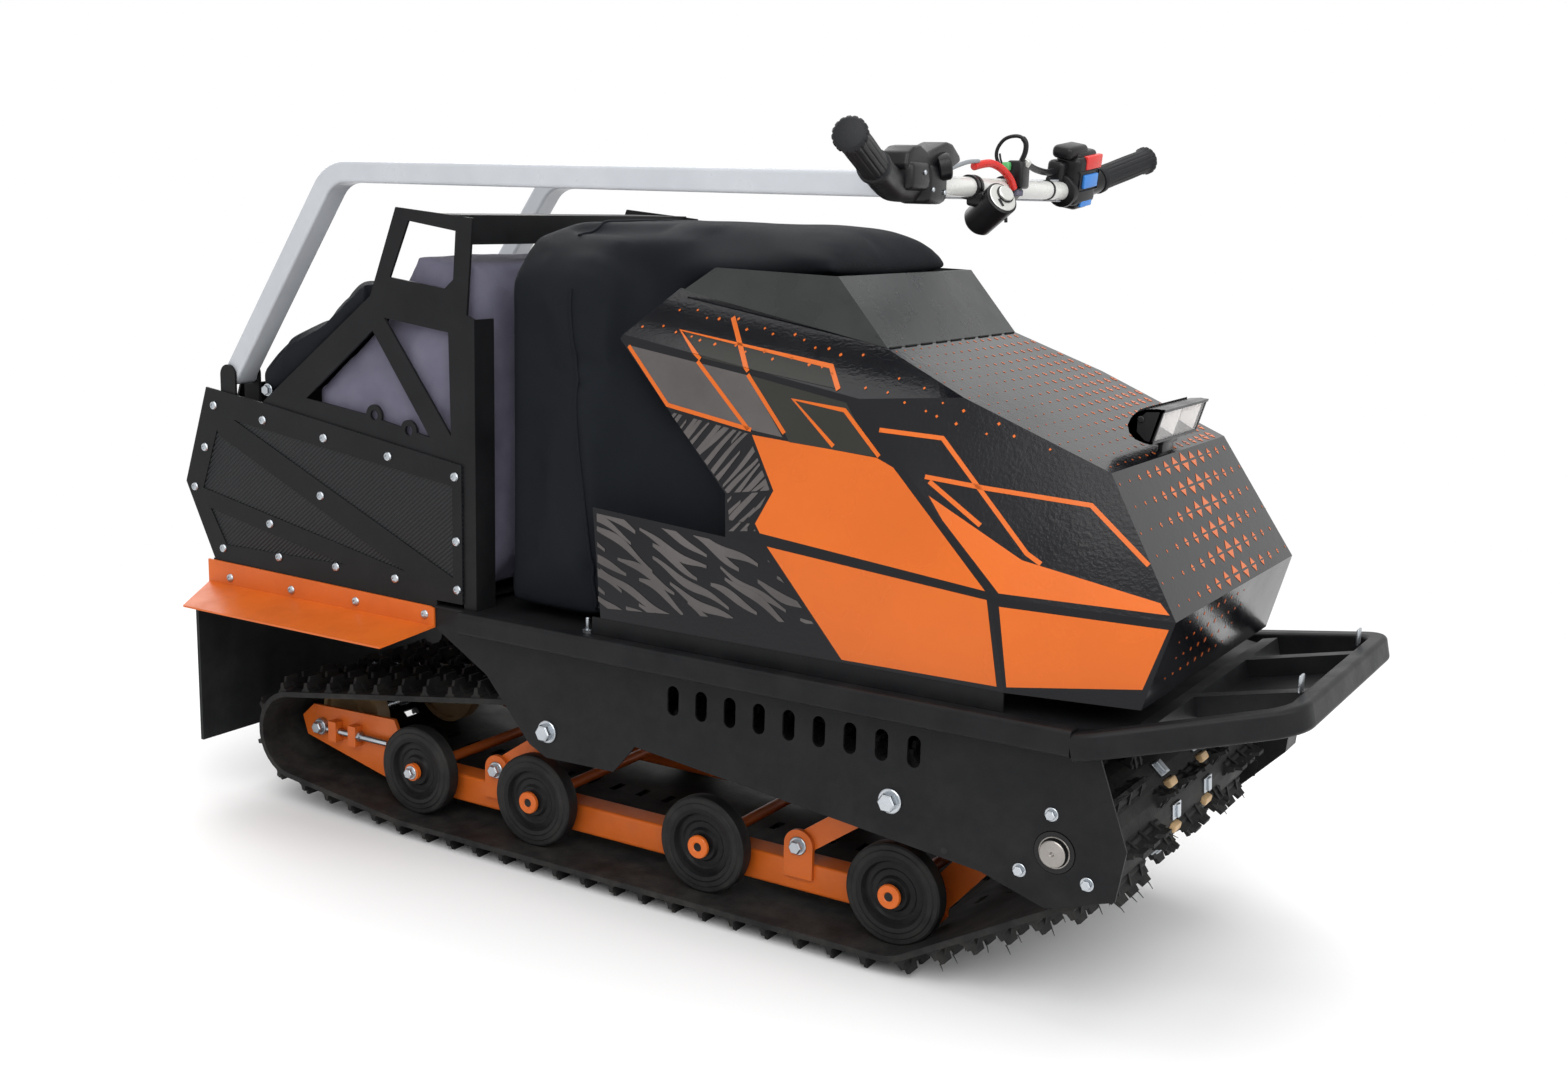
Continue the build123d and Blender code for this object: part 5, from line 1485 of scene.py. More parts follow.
    def _wavy(self, bm: BMesh, area: Sequence[Flat], side: float, chance: Random) -> None:
        """Fills a convex area with bands that swell and wander.

        Args:
            bm: The mesh that they join.
            area: The area's outline as x and z.
            side: -1 for the right, 1 for the left.
            chance: The source of the bands' shapes.
        """
        low_x, high_x = min(x for x, _ in area), max(x for x, _ in area)
        low_z, high_z = min(z for _, z in area), max(z for _, z in area)
        pitch, step = self.band_pitch, self.band_step
        slope = -0.42 if high_x - low_x > 200 else 1.15
        count = int((high_z - low_z + abs(slope) * (high_x - low_x)) / pitch) + 3
        start = low_z - max(slope * (high_x - low_x), 0) - pitch
        for number in range(count):
            phase, swing = chance.uniform(0, 6.28), chance.uniform(3.0, 7.0)
            second, length = chance.uniform(0, 6.28), chance.uniform(26.0, 48.0)
            rows = []
            steps = int((high_x - low_x) / step) + 1
            for k in range(steps + 1):
                x = low_x + k * step
                mid = (start + number * pitch + slope * (x - low_x) + swing * math.sin(x / length + phase)
                       + 2.2 * math.sin(x / 13.0 + second))
                half = 3.6 + 2.2 * math.sin(x / (length * 0.55) + second)
                rows.append((x, mid, half))
            for (ax, am, ah), (bx, bm_, bh) in zip(rows, rows[1:]):
                if min(ah, bh) < self.thinnest:
                    continue
                quad = ((ax, am - ah), (bx, bm_ - bh), (bx, bm_ + bh), (ax, am + ah))
                self._clipped(bm, quad, area, side, self.lift + self.step_up * (number % 3))

    def _clipped(self, bm: BMesh, quad: Sequence[Flat], area: Sequence[Flat],
                 side: float, lift: float) -> None:
        """Adds the film of the part of a quad that lies in a convex area.

        Args:
            bm: The mesh that it joins.
            quad: The quad's corners as x and z.
            area: The convex area's outline.
            side: -1 for the right, 1 for the left.
            lift: The film's height over the paint in millimetres.
        """
        middle = (sum(x for x, _ in area) / len(area), sum(z for _, z in area) / len(area))
        piece = list(quad)
        for i, (ax, az) in enumerate(area):
            cx, cz = area[(i + 1) % len(area)]
            nx, nz = cz - az, ax - cx
            if nx * (middle[0] - ax) + nz * (middle[1] - az) > 0:
                nx, nz = -nx, -nz
            piece = clip_flat(piece, (nx, nz), nx * ax + nz * az)
            if len(piece) < 3:
                return
        self._film(bm, piece, side, lift)

    def _specks(self, bm: BMesh, area: Sequence[Flat], pitch: float, side: float) -> None:
        """Scatters small diamonds over a four-cornered area.

        Args:
            bm: The mesh that they join.
            area: The area's corners as x and z.
            pitch: The diamonds' spacing.
            side: -1 for the right, 1 for the left.
        """
        chance = Random(31)
        a, b, c, d = area
        across = max(int(math.hypot(b[0] - a[0], b[1] - a[1]) / pitch), 2)
        along = max(int(math.hypot(d[0] - a[0], d[1] - a[1]) / pitch), 2)
        for i in range(along):
            for j in range(across):
                u = (i + 0.5 + (j % 2) * 0.5 + chance.uniform(-0.2, 0.2)) / (along + 0.5)
                v = (j + 0.5 + chance.uniform(-0.18, 0.18)) / across
                low = (a[0] + (d[0] - a[0]) * u, a[1] + (d[1] - a[1]) * u)
                high = (b[0] + (c[0] - b[0]) * u, b[1] + (c[1] - b[1]) * u)
                x, z = low[0] + (high[0] - low[0]) * v, low[1] + (high[1] - low[1]) * v
                r = chance.uniform(1.5, 2.3)
                self._film(bm, ((x - r, z), (x, z - r), (x + r, z), (x, z + r)), side,
                           self.lift + self.thick)

    @staticmethod
    def _dot_size(top: Point, share: float, y: float) -> float:
        """How large a diamond of a top face is.

        Args:
            top: The upper corner of its face.
            share: Its share of the way down the face.
            y: Its distance from the middle in millimetres.

        Returns:
            Half its size in millimetres.
        """
        if top is BEND_FRONT:
            return 1.4 + 7.6 * min(max((y + 100.0) / 250.0, 0.0), 1.0) * (0.4 + 0.6 * share)
        if top is NOSE_TOP:
            return 14.0 * (1.0 - min(abs(y - 25.0) / 220.0, 0.88))
        return 3.8 - min(abs(y + 70.0) / 45.0, 3.0)

    def _dots(self, bm: BMesh) -> None:
        """Adds diamonds in staggered rows that grow across the top faces.

        Args:
            bm: The mesh that they join.
        """
        for top, low, rows, columns in (
                # upper and lower corner of the face, rows, columns
                (BEND_FRONT, NOSE_TOP, 16, 17), (NOSE_TOP, NOSE_LOW, 6, 13), (NOSE_LOW, NOSE_FOOT, 4, 18)):
            ahead = mm(low[0] - top[0], 0, low[2] - top[2])
            normal = unit(Vector((-ahead.z, 0, ahead.x)))
            if normal.x < 0:
                normal = -normal
            for i in range(rows):
                share = (i + 0.5) / rows
                x, z = top[0] + (low[0] - top[0]) * share, top[2] + (low[2] - top[2]) * share
                half = nearest_facet(x, z).spread(x, z) - 9
                for j in range(columns):
                    y = -half + 2 * half * (j + (0.5 if i % 2 else 0.0)) / (columns - 0.5)
                    radius = self._dot_size(top, share, y)
                    under_lamp = top is BEND_FRONT and x > 600 and abs(y) < 24
                    if radius < 1.1 or abs(y) + radius > half + 8 or under_lamp:
                        continue
                    spot = mm(x, y, z) + normal * (self.lift * MM)
                    self._split_diamond(bm, spot, unit(ahead), normal, radius)

    def _split_diamond(self, bm: BMesh, spot: Vector, ahead: Vector, normal: Vector,
                       radius: float) -> None:
        """Adds two small triangles with a slit between them.

        Args:
            bm: The mesh that they join.
            spot: Their middle.
            ahead: The way down the face.
            normal: The face's outward normal.
            radius: Half their size in millimetres.
        """
        across = normal.cross(ahead)
        for turn in (1, -1):
            shape = [spot + (ahead * (turn * u) + across * (turn * v)) * (radius * MM)
                     for u, v in ((0.12, -0.78), (0.92, 0.06), (0.12, 0.78))]
            if (shape[1] - shape[0]).cross(shape[2] - shape[0]).dot(normal) > 0:
                shape.reverse()
            MeshShop.prism(bm, shape, normal * (self.thick * MM))


class Hardware(Enum):
    """Small parts that are placed many times."""

    HEX_BOLT = "hex_bolt"
    BUTTON = "button_screw"


@dataclass
class Fasteners:
    """Hex bolts and button screws at their places."""

    shop: Workshop
    box_screws: tuple[Flat, ...] = (
        (-777, 624), (-671, 611), (-545, 596), (-418, 582), (-293, 566), (-291, 475), (-290, 406),
        (-408, 406), (-526, 407), (-645, 406), (-767, 404), (-826, 494), (-800, 558), (-554, 510),
        (-662, 455))
    fender_screws: tuple[Flat, ...] = ((-750, 360), (-617, 360), (-484, 362), (-349, 363))
    box_face: float = 270.0
    fender_face: float = 273.3
    axle_height: float = 97.5
    chain_case_from: float = 560.0
    last_axle: float = -428.0
    # x, distance from the middle, z and size of bolts that face sideways
    side_bolts: tuple[tuple[float, float, float, float], ...] = (
        (-129.0, 270.2, 230.0, 1.5), (403.0, 270.2, 243.0, 1.5), (612.0, 270.2, 271.0, 0.8),
        (576.0, 270.2, 195.0, 0.8), (660.0, 270.2, 197.0, 0.8), (-298.0, 181.2, 116.0, 1.2),
        (223.0, 181.2, 116.0, 1.2), (-654.0, 188.5, 118.0, 1.2), (382.0, 223.5, 97.5, 1.0),
        (91.0, 223.5, 97.5, 1.0), (-203.0, 223.5, 97.5, 1.0), (-428.0, 223.5, 97.5, 1.0))

    def build(self) -> None:
        """Places every kind."""
        bolts, buttons = [], []
        for _, side in SIDES:
            out = LEFT * side
            for x, z in self.box_screws:
                buttons.append(Spot(mm(x, side * self.box_face, z), out))
            for x, z in self.fender_screws:
                buttons.append(Spot(mm(x, side * self.fender_face, z), out))
            for x, y, z, size in self.side_bolts:
                under_case = side > 0 and x > self.chain_case_from
                open_bore = z == self.axle_height and x > self.last_axle
                if not under_case and not open_bore:
                    bolts.append(Spot(mm(x, side * y, z), out, Vector((0.3, 0, 1)), size))
            bolts.append(Spot(mm(-666, side * 262.2, 656), out, None, 0.9))
        zinc = self.shop.paint.material("zinc")
        for name, kind, spots in (("bolts_zinc", Hardware.HEX_BOLT, bolts),
                                  ("button_screws", Hardware.BUTTON, buttons)):
            piece = self.shop.placer.place(name, self._shape(kind), spots, zinc)
            self.shop.settle(piece, "zinc", CHASSIS, "zinc_steel")

    @staticmethod
    def _shape(kind: Hardware) -> Object:
        """The shape of one kind, standing on the XY plane.

        Args:
            kind: The kind.

        Returns:
            The shape at the origin.
        """
        bm = bmesh.new()
        axis = UP
        if kind is Hardware.HEX_BOLT:
            MeshShop.ring(bm, Vector(), axis, ((0, 0), (0.0105, 0), (0.0105, 0.0014), (0.0098, 0.002),
                                               (0, 0.002)), 28)
            MeshShop.ring(bm, Vector(), axis, ((0, 0.0018), (0.0078, 0.0018), (0.0080, 0.0024),
                                               (0.0080, 0.0078), (0.0068, 0.0088), (0, 0.0088)), 6)
        else:
            MeshShop.ring(bm, Vector(), axis, ((0, -0.0002), (0.0065, -0.0002), (0.0066, 0.0008),
                                               (0.0056, 0.0026), (0.0030, 0.0036), (0.0028, 0.0024),
                                               (0, 0.0024)), 20)
        return MeshShop.publish(kind.value, bm)


@dataclass
class Headlamp:
    """The finned work lamp: a rounded housing, two deep reflectors and one glass."""

    shop: Workshop
    x: float = 628.0
    z: float = 702.0
    half_width: float = 80.0
    fins: int = 15
    fin_pitch: float = 9.6
    funnel_y: float = 37.0
    # the housing's outline from its front top edge round the back, as x and z from its middle
    back: tuple[Flat, ...] = (
        (18.0, 21.0), (10.0, 22.0), (-4.0, 20.5), (-14.0, 16.5), (-22.0, 9.0), (-25.5, 0.0), (-23.0, -9.0),
        (-15.0, -16.5), (-4.0, -20.0), (4.5, -21.0))
    inside: tuple[Flat, ...] = (
        (5.0, -18.4), (-3.0, -17.0), (-13.5, -7.0), (-13.5, 7.0), (-3.0, 17.0), (15.5, 18.6))

    def build(self) -> None:
        """Makes the housing with its fins and foot, the reflectors, the chips and the glass."""
        bm = bmesh.new()
        self._bar(bm, [*self.back, *self.inside], -self.half_width, self.half_width)
        for side in (-1, 1):
            low, high = sorted((side * self.half_width, side * (self.half_width - 3.0)))
            self._bar(bm, self.back, low, high)
            MeshShop.ring(bm, mm(self.x - 9, side * self.half_width, self.z + 8), LEFT * side,
                          ((0, 0.0), (0.0042, 0.0), (0.0042, 0.0016), (0.0032, 0.0026), (0, 0.0026)), 20)
        fin = [(x * 1.13 + 0.5, z * 1.12) for x, z in self.back[1:-1]]
        for number in range(self.fins):
            y = (number - self.fins // 2) * self.fin_pitch
            self._bar(bm, [point for point in fin if point[0] < 9], y - 1.5, y + 1.5)
        MeshShop.block(bm, mm(self.x - 4, 0, 671), mm(6, 40, 34), bevel=0.001)
        MeshShop.block(bm, mm(self.x - 5, 0, self.z - 24), mm(14, 52, 8), bevel=0.002)
        self.shop.make("lamp_body_finned", bm, "black_plastic", "lamp_body", ("lamp_housing",), crease=38.0)
        self._reflectors()
        self._glass()

    def _bar(self, bm: BMesh, outline: Sequence[Flat], low: float, high: float) -> None:
        """Adds a bar across the machine with the given outline round the lamp's middle.

        Args:
            bm: The mesh that it joins.
            outline: The outline as x and z from the lamp's middle.
            low: Its right end in millimetres.
            high: Its left end.
        """
        corners = [mm(self.x + x, low, self.z + z) for x, z in outline]
        MeshShop.prism(bm, corners, mm(0, high - low, 0))

    def _front(self, rise: float, depth: float = 0.0) -> float:
        """The x of the slanting front at a height over the lamp's middle.

        Args:
            rise: The height over the middle in millimetres.
            depth: How far in front of the slant.

        Returns:
            The x in millimetres.
        """
        return self.x + 11.0 + depth + 0.29 * rise

    def _reflectors(self) -> None:
        """Makes two funnels, each with its chip, a painted highlight on its walls and painted shade on its
        floor.
        """
        bright, shaded, chips = bmesh.new(), bmesh.new(), bmesh.new()
        for side in (-1, 1):
            y = side * self.funnel_y
            corners = ((-1, -1), (1, -1), (1, 1), (-1, 1))
            for k, (sy, sz) in enumerate(corners):
                ny, nz = corners[(k + 1) % 4]
                wall = []
                for half_y, half_z, depth in ((7.0, 3.5, -15.0), (35.0, 16.8, -1.5)):
                    for ty, tz in ((sy, sz), (ny, nz)):
                        rise = tz * half_z
                        wall.append(mm(self._front(rise, depth), y + ty * half_y, self.z + rise))
                outline = [wall[0], wall[1], wall[3], wall[2]]
                away = mm(0, 0, sz * 0.8) if sz == nz else mm(0, sy * 0.8, 0)
                # the bottom wall takes the painted shade, the other walls the painted highlight
                MeshShop.prism(shaded if sz == nz == -1 else bright, outline, away)
            for shift in (-4.0, 4.0):
                MeshShop.block(chips, mm(self.x - 3.4, y + shift, self.z), mm(1.6, 5.0, 5.0), bevel=0.0004)
            MeshShop.block(chips, mm(self.x - 5.0, y, self.z), mm(1.2, 18.0, 10.0))
        for name, bm, finish in (("lamp_reflector_tops", bright, "reflector"),
                                 ("lamp_reflector_walls", shaded, "reflector_shade")):
            bmesh.ops.recalc_face_normals(bm, faces=bm.faces[:])
            self.shop.make(name, bm, finish, "lamp_body")
        self.shop.make("lamp_chips", chips, "lamp_chip", "lamp_glass")

    def _slab(self, bm: BMesh, span: tuple[float, float], sides: tuple[float, float],
              depth: tuple[float, float]) -> None:
        """Adds a slab that lies on the slanting front.

        Args:
            bm: The mesh that it joins.
            span: Its lower and upper height from the lamp's middle.
            sides: Its right and left end.
            depth: Its back and front, from the slant.
        """
        (low, high), (right, left), (back, front) = span, sides, depth
        corners = [mm(self._front(low, back), right, self.z + low),
                   mm(self._front(low, front), right, self.z + low),
                   mm(self._front(high, front), right, self.z + high),
                   mm(self._front(high, back), right, self.z + high)]
        MeshShop.prism(bm, corners, mm(0, left - right, 0))

    def _glass(self) -> None:
        """Makes the glass with its thin frame and the lip over it."""
        bm = bmesh.new()
        self._slab(bm, (-17.9, 17.9), (-76.0, 76.0), (-0.8, 0.8))
        self.shop.make("lamp_glass_pane", bm, "lens_clear", "lamp_glass", ("lamp_lenses",))
        bm = bmesh.new()
        self._slab(bm, (18.0, 21.4), (-80.0, 80.0), (-3.0, 3.2))
        self._slab(bm, (-21.2, -18.0), (-80.0, 80.0), (-3.0, 1.8))
        self._slab(bm, (-21.2, 21.4), (-80.0, -76.2), (-3.0, 1.8))
        self._slab(bm, (-21.2, 21.4), (76.2, 80.0), (-3.0, 1.8))
        self.shop.make("lamp_rim", bm, "black_plastic", "lamp_body")


@dataclass
class DriveEnd:
    """The end of the drive shaft in its bearing, on the right side plate."""

    shop: Workshop
    x: float = 618.0
    z: float = 226.0
    face: float = 270.0

    def build(self) -> None:
        """Turns the bearing's rings and the shaft's end with its centre hole."""
        centre, out = mm(self.x, -self.face, self.z), Vector((0, -1, 0))
        bm = bmesh.new()
        MeshShop.ring(bm, centre, out, ((0.0177, 0.0002), (0.0194, 0.0002), (0.0194, 0.0012),
                                        (0.0191, 0.0016), (0.0180, 0.0016), (0.0177, 0.0012)), 64)
        MeshShop.ring(bm, centre, out, ((0, 0.0058), (0.0150, 0.0058), (0.0162, 0.0066),
                                        (0.0162, 0.0076), (0.0152, 0.0084), (0.0030, 0.0084),
                                        (0.0014, 0.0062), (0, 0.0062)), 64)
        self.shop.make("shaft_end", bm, "worn_steel", "zinc_steel", crease=30.0)
        bm = bmesh.new()
        MeshShop.ring(bm, centre, out, ((0.0196, 0.0002), (0.0250, 0.0002), (0.0250, 0.0010),
                                        (0.0196, 0.0010)), 64)
        self.shop.make("bearing_seal", bm, "black_plastic", "black_coat", crease=30.0)


BAR = Vector((0.366, 0.0, 0.976))
RAISED = unit(Vector((48.0, 176.0, 49.0)))


@dataclass
class Controls:
    """Grips, thumb throttle, switch pod, tether switch, ignition lock and their short leads."""

    shop: Workshop
    bend: float = 269.0
    tip: Point = (414.0, 445.0, 1025.0)

    def build(self) -> None:
        """Builds everything that sits on the handlebar."""
        self._grips()
        self._throttle()
        self._pod()
        self._tether()
        self._lock()
        self._leads()

    def _add(self, name: str, bm: BMesh, stands_for: Sequence[str] = (),
             finish: str = "black_plastic", slot: str = "control_plastic", crease: float = 35.0) -> None:
        """Publishes a piece of the steering frame.

        Args:
            name: Its name.
            bm: Its mesh.
            stands_for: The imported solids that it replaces.
            finish: Its finish.
            slot: The record's slot of its material.
            crease: The angle past which its edges stay sharp.
        """
        self.shop.make(name, bm, finish, slot, stands_for, STEERING, crease=crease)

    def _grips(self) -> None:
        """Makes two grips with grooves along them, a scalloped end cap and a collar."""
        bm = bmesh.new()
        for side in (-1, 1):
            tip = mm(self.tip[0], side * self.tip[1], self.tip[2])
            inward = -unit(Vector((RAISED.x, side * RAISED.y, RAISED.z)))
            rows = ((0.0, 0.0150, 0.0), (0.0008, 0.0172, 0.0), (0.0022, 0.0188, 0.0006),
                    (0.0040, 0.0200, 0.0014), (0.0085, 0.0200, 0.0014), (0.0105, 0.0186, 0.0006),
                    (0.0125, 0.0172, 0.0), (0.0150, 0.0170, 0.0009), (0.0500, 0.0174, 0.0009),
                    (0.0900, 0.0172, 0.0009), (0.1120, 0.0174, 0.0009), (0.1150, 0.0174, 0.0),
                    (0.1170, 0.0196, 0.0), (0.1235, 0.0199, 0.0), (0.1255, 0.0190, 0.0),
                    (0.1268, 0.0150, 0.0))
            MeshShop.fluted(bm, tip, inward, rows, 16, 128)
        self._add("ribbed_grips", bm, ("grips",), "grip_rubber", "grip_rubber", 40.0)

    def _throttle(self) -> None:
        """Makes the throttle's case with its raised cap, the barrel to the grip and the screws."""
        bm = bmesh.new()
        cap = ((-268, 996), (-264, 1012), (-250, 1019), (-232, 1021), (-214, 1014), (-198, 1018),
               (-164, 1027), (-150, 1025), (-130, 1012), (-127, 1005), (-146, 998), (-160, 990),
               (-262, 990))
        MeshShop.prism(bm, [mm(354, y, z) for y, z in cap], mm(36, 0, 0))
        MeshShop.soften(bm, 0.005, 3)
        self._add("throttle_cap", bm, ("throttle_control",))
        bm = bmesh.new()
        MeshShop.block(bm, mm(370, -190, 978), mm(46, 56, 48), bevel=0.011, steps=4)
        MeshShop.block(bm, mm(376, -238, 986), mm(38, 52, 34), bevel=0.009, steps=4)
        MeshShop.ring(bm, mm(384, -181, 996), Vector((0.75, 0.62, 0.22)),
                      ((0, 0.0), (0.0150, 0.0), (0.0165, 0.0015), (0.0165, 0.014), (0.0150, 0.0158),
                       (0.0118, 0.0158), (0.0110, 0.0142), (0, 0.0142)), 40)
        self._add("throttle_case", bm)
        bm = bmesh.new()
        barrel = smooth_path([BAR + mm(0, -212, 0), BAR + mm(0, -252, 0), BAR + mm(2, -268, 2),
                              BAR + mm(7, -294, 8.5), BAR + mm(15, -324, 16.5)], 6)
        MeshShop.tube(bm, barrel, lambda share: 0.0205 - 0.0025 * share, 32)
        self._add("throttle_barrel", bm)
        bm = bmesh.new()
        for x, y, z in ((393.2, -206, 971), (393.2, -176, 968), (395.2, -232, 990)):
            MeshShop.ring(bm, mm(x, y, z), Vector((1, 0, 0)),
                          ((0, 0.0), (0.0030, 0.0), (0.0030, 0.0012), (0.0022, 0.0018), (0, 0.0018)), 20)
        self._add("throttle_screws", bm, (), "zinc", "zinc_steel")

    def _pod(self) -> None:
        """Makes the switch pod with its flange, its lobes, a red rocker and two blue keys."""
        start = BAR + mm(0, 243, 0)
        along = unit(Vector((0.140, 0.963, 0.143)))
        out = Vector((0.95, -0.2, -0.18))
        out = unit(out - along * out.dot(along))
        up = out.cross(along)
        turn = Matrix((along, up, along.cross(up))).transposed()

        def at(run: float, rise: float, forward: float) -> Vector:
            """A place by millimetres along the bar, up and towards the front."""
            return start + along * (run * MM) + up * (rise * MM) + out * (forward * MM)

        bm = bmesh.new()
        MeshShop.block(bm, at(32, 14, 1), mm(58, 68, 40), turn, 0.008, 4)
        MeshShop.block(bm, at(17, 53, -4), mm(50, 18, 32), turn, 0.007, 4)
        MeshShop.block(bm, at(0, 26, -10), mm(20, 30, 26), turn, 0.006, 3)
        near = BAR + mm(0, 269, 0)
        MeshShop.tube(bm, [near + RAISED * 0.024, near + RAISED * 0.045, near + RAISED * 0.066],
                      0.0178, 32)
        MeshShop.block(bm, at(36, 40, -2), mm(50, 28, 36), turn, 0.007, 4)
        MeshShop.block(bm, at(34, -18, 0), mm(42, 18, 34), turn, 0.007, 4)
        MeshShop.ring(bm, start, along, ((0.0128, -0.0030), (0.0200, -0.0030), (0.0222, -0.0015),
                                         (0.0228, 0.0015), (0.0228, 0.0090), (0.0205, 0.0110),
                                         (0.0128, 0.0110)), 56)
        self._add("switch_case", bm, ("switch_pod",))
        keys = (
            # name, run, rise, forward, length, height, finish
            ("red_rocker", 43.0, 39.0, 19.0, 40.0, 19.0, "red_plastic"),
            ("blue_key_upper", 36.0, 14.0, 21.0, 36.0, 19.0, "blue_plastic"),
            ("blue_key_lower", 38.0, -17.0, 16.5, 30.0, 12.0, "blue_plastic"),
        )
        for name, run, rise, forward, length, height, finish in keys:
            bm = bmesh.new()
            MeshShop.block(bm, at(run, rise, forward), mm(length, height, 8.0), turn, 0.0018, 3)
            self._add(name, bm, (), finish, "control_plastic")
        bm = bmesh.new()
        for rise in (28.2, 0.6):
            MeshShop.block(bm, at(32, rise, 21.4), mm(56, 1.3, 3.0), turn, 0.0004, 1)
        for run in (9.0, 58.5):
            MeshShop.block(bm, at(run, 14, 21.4), mm(1.3, 28, 3.0), turn, 0.0004, 1)
        self._add("switch_ledges", bm, (), "black_gloss", "control_plastic")

    def _tether(self) -> None:
        """Makes the stop switch with its green clip and its stiff pull loop."""
        bm = bmesh.new()
        MeshShop.block(bm, mm(381, 60, 994), mm(23, 26, 36), bevel=0.004, steps=3)
        MeshShop.ring(bm, BAR + mm(0, 46, 0), LEFT,
                      ((0.0127, 0.0), (0.0158, 0.0), (0.0162, 0.001), (0.0162, 0.027), (0.0158, 0.028),
                       (0.0127, 0.028)), 40)
        self._add("stop_switch", bm, ("tether_switch",))
        bm = bmesh.new()
        MeshShop.ring(bm, mm(389, 62, 1006), Vector((0.55, 0.1, 0.85)),
                      ((0, 0.0), (0.0055, 0.0), (0.0058, 0.001), (0.0058, 0.007), (0.0046, 0.0084),
                       (0, 0.0086)), 32)
        self._add("stop_switch_cap", bm, (), "silver_plate", "zinc_steel")
        bm = bmesh.new()
        MeshShop.block(bm, mm(371, 45, 1004), mm(11, 9, 11), bevel=0.002)
        self._add("stop_switch_clip", bm, (), "green_plastic", "control_plastic")
        bm = bmesh.new()
        loop = smooth_path([mm(386, 54, 1008), mm(393, 52, 1022), mm(394, 50, 1034), mm(388, 48, 1041),
                            mm(378, 46, 1042), mm(367, 44, 1038), mm(359, 43, 1028), mm(357, 43, 1017),
                            mm(361, 44, 1007), mm(368, 45, 1004)], 6)
        MeshShop.tube(bm, loop, lambda share: 0.0024 + 0.0011 * (share < 0.30), 12)
        MeshShop.tube(bm, [mm(366, 42, 1007), mm(364, 41, 1013), mm(363, 40, 1020)], 0.0014, 8)
        self._add("stop_switch_loop", bm, crease=60.0)

    def _lock(self) -> None:
        """Makes the ignition lock's drum with its silver face, key knob and straps, and a dark block of
        painted shade for its key slot.
        """
        face = BAR + mm(42, -44, -12)
        out = -unit(Vector((-0.75, 0.35, -0.55)))
        bm = bmesh.new()
        MeshShop.ring(bm, face, out, ((0, -0.058), (0.0175, -0.058), (0.0205, -0.054), (0.0212, -0.030),
                                      (0.0220, -0.004), (0.0220, -0.001), (0.0205, 0.0), (0, 0.0)), 56)
        for y in (-56, -46):
            MeshShop.ring(bm, BAR + mm(0, y, 0), LEFT,
                          ((0.0127, 0.0), (0.0150, 0.0), (0.0155, 0.0006), (0.0155, 0.0056),
                           (0.0150, 0.0062), (0.0127, 0.0062)), 40)
        MeshShop.block(bm, BAR + mm(10, -44, -14), mm(26, 22, 18), bevel=0.004, steps=3)
        MeshShop.tube(bm, [face + mm(-6, 14, -12), face + mm(-3, 20, -24), face + mm(-3, 21, -30)],
                      0.0022, 10)
        self._add("lock_drum", bm, ("ignition_switch",))
        turn = Spot(face, out, LEFT).turn()
        bm = bmesh.new()
        MeshShop.ring(bm, face, out, ((0, 0.0002), (0.0188, 0.0002), (0.0190, 0.0010), (0.0180, 0.0018),
                                      (0, 0.0018)), 48)
        knob = face + turn @ mm(5.5, 2.5, 0)
        MeshShop.ring(bm, knob, out, ((0, 0.0016), (0.0105, 0.0016), (0.0105, 0.0052), (0.0094, 0.0062),
                                      (0, 0.0062)), 40)
        self._add("lock_face", bm, (), "silver_plate", "zinc_steel")
        # painted shade: a thin black block for the key slot, with a black ring round the knob
        bm = bmesh.new()
        MeshShop.ring(bm, knob, out, ((0.0106, 0.0016), (0.0120, 0.0016), (0.0120, 0.0030),
                                      (0.0106, 0.0030)), 40)
        MeshShop.block(bm, face + turn @ mm(-8.5, -6.0, 1.9), mm(4.2, 11.0, 1.2), turn, 0.0004, 1)
        self._add("lock_slot", bm)

    def _leads(self) -> None:
        """Makes the throttle's cable, the red corrugated sleeve and the ties, all held to the bar."""
        bm = bmesh.new()
        cable = smooth_path([mm(384, -214, 972), mm(384, -196, 977), mm(380, -165, 988), mm(375, -115, 999),
                             mm(372, -72, 1006), mm(371, -40, 1008)], 8)
        MeshShop.tube(bm, cable, 0.0027, 12)
        self._add("throttle_cable", bm, (), "cable_sheath", "control_plastic", crease=60.0)
        route = smooth_path([mm(369, -50, 1001), mm(371, -25, 1005), mm(373, -4, 1006), mm(377, 18, 1000),
                             mm(381, 36, 988), mm(382, 47, 976)], 10)
        bm = bmesh.new()
        MeshShop.tube(bm, route, 0.0036, 14)
        for i in range(1, len(route) - 1):
            run = unit(route[i + 1] - route[i - 1])
            MeshShop.ring(bm, route[i], run, ((0.0032, -0.0008), (0.0048, -0.0008), (0.0051, 0.0),
                                              (0.0048, 0.0008), (0.0032, 0.0008)), 18)
        self._add("red_sleeve", bm, (), "red_plastic", "control_plastic", crease=50.0)
        bm = bmesh.new()
        lead = smooth_path([mm(372, 72, 1003), mm(369, 108, 1009), mm(366, 150, 1003), mm(363, 195, 1000),
                            mm(362, 232, 1003)], 6)
        MeshShop.tube(bm, lead, 0.0045, 14)
        self._add("switch_lead", bm, crease=60.0)
        bm = bmesh.new()
        # the connector takes the liner's lilac painted-sheen finish
        MeshShop.block(bm, mm(382, 58, 971), mm(10, 18, 8), bevel=0.0015)
        self._add("lead_connector", bm, (), "lilac_painted_sheen", "control_plastic", crease=60.0)
        bm = bmesh.new()
        MeshShop.ring(bm, BAR + mm(0, 188, 0), LEFT,
                      ((0.0126, 0.0), (0.0138, 0.0), (0.0140, 0.0018), (0.0138, 0.0040),
                       (0.0126, 0.0040)), 36)
        MeshShop.block(bm, BAR + mm(2, 190, 15), mm(6, 4, 5), bevel=0.0008)
        self._add("cable_ties", bm)


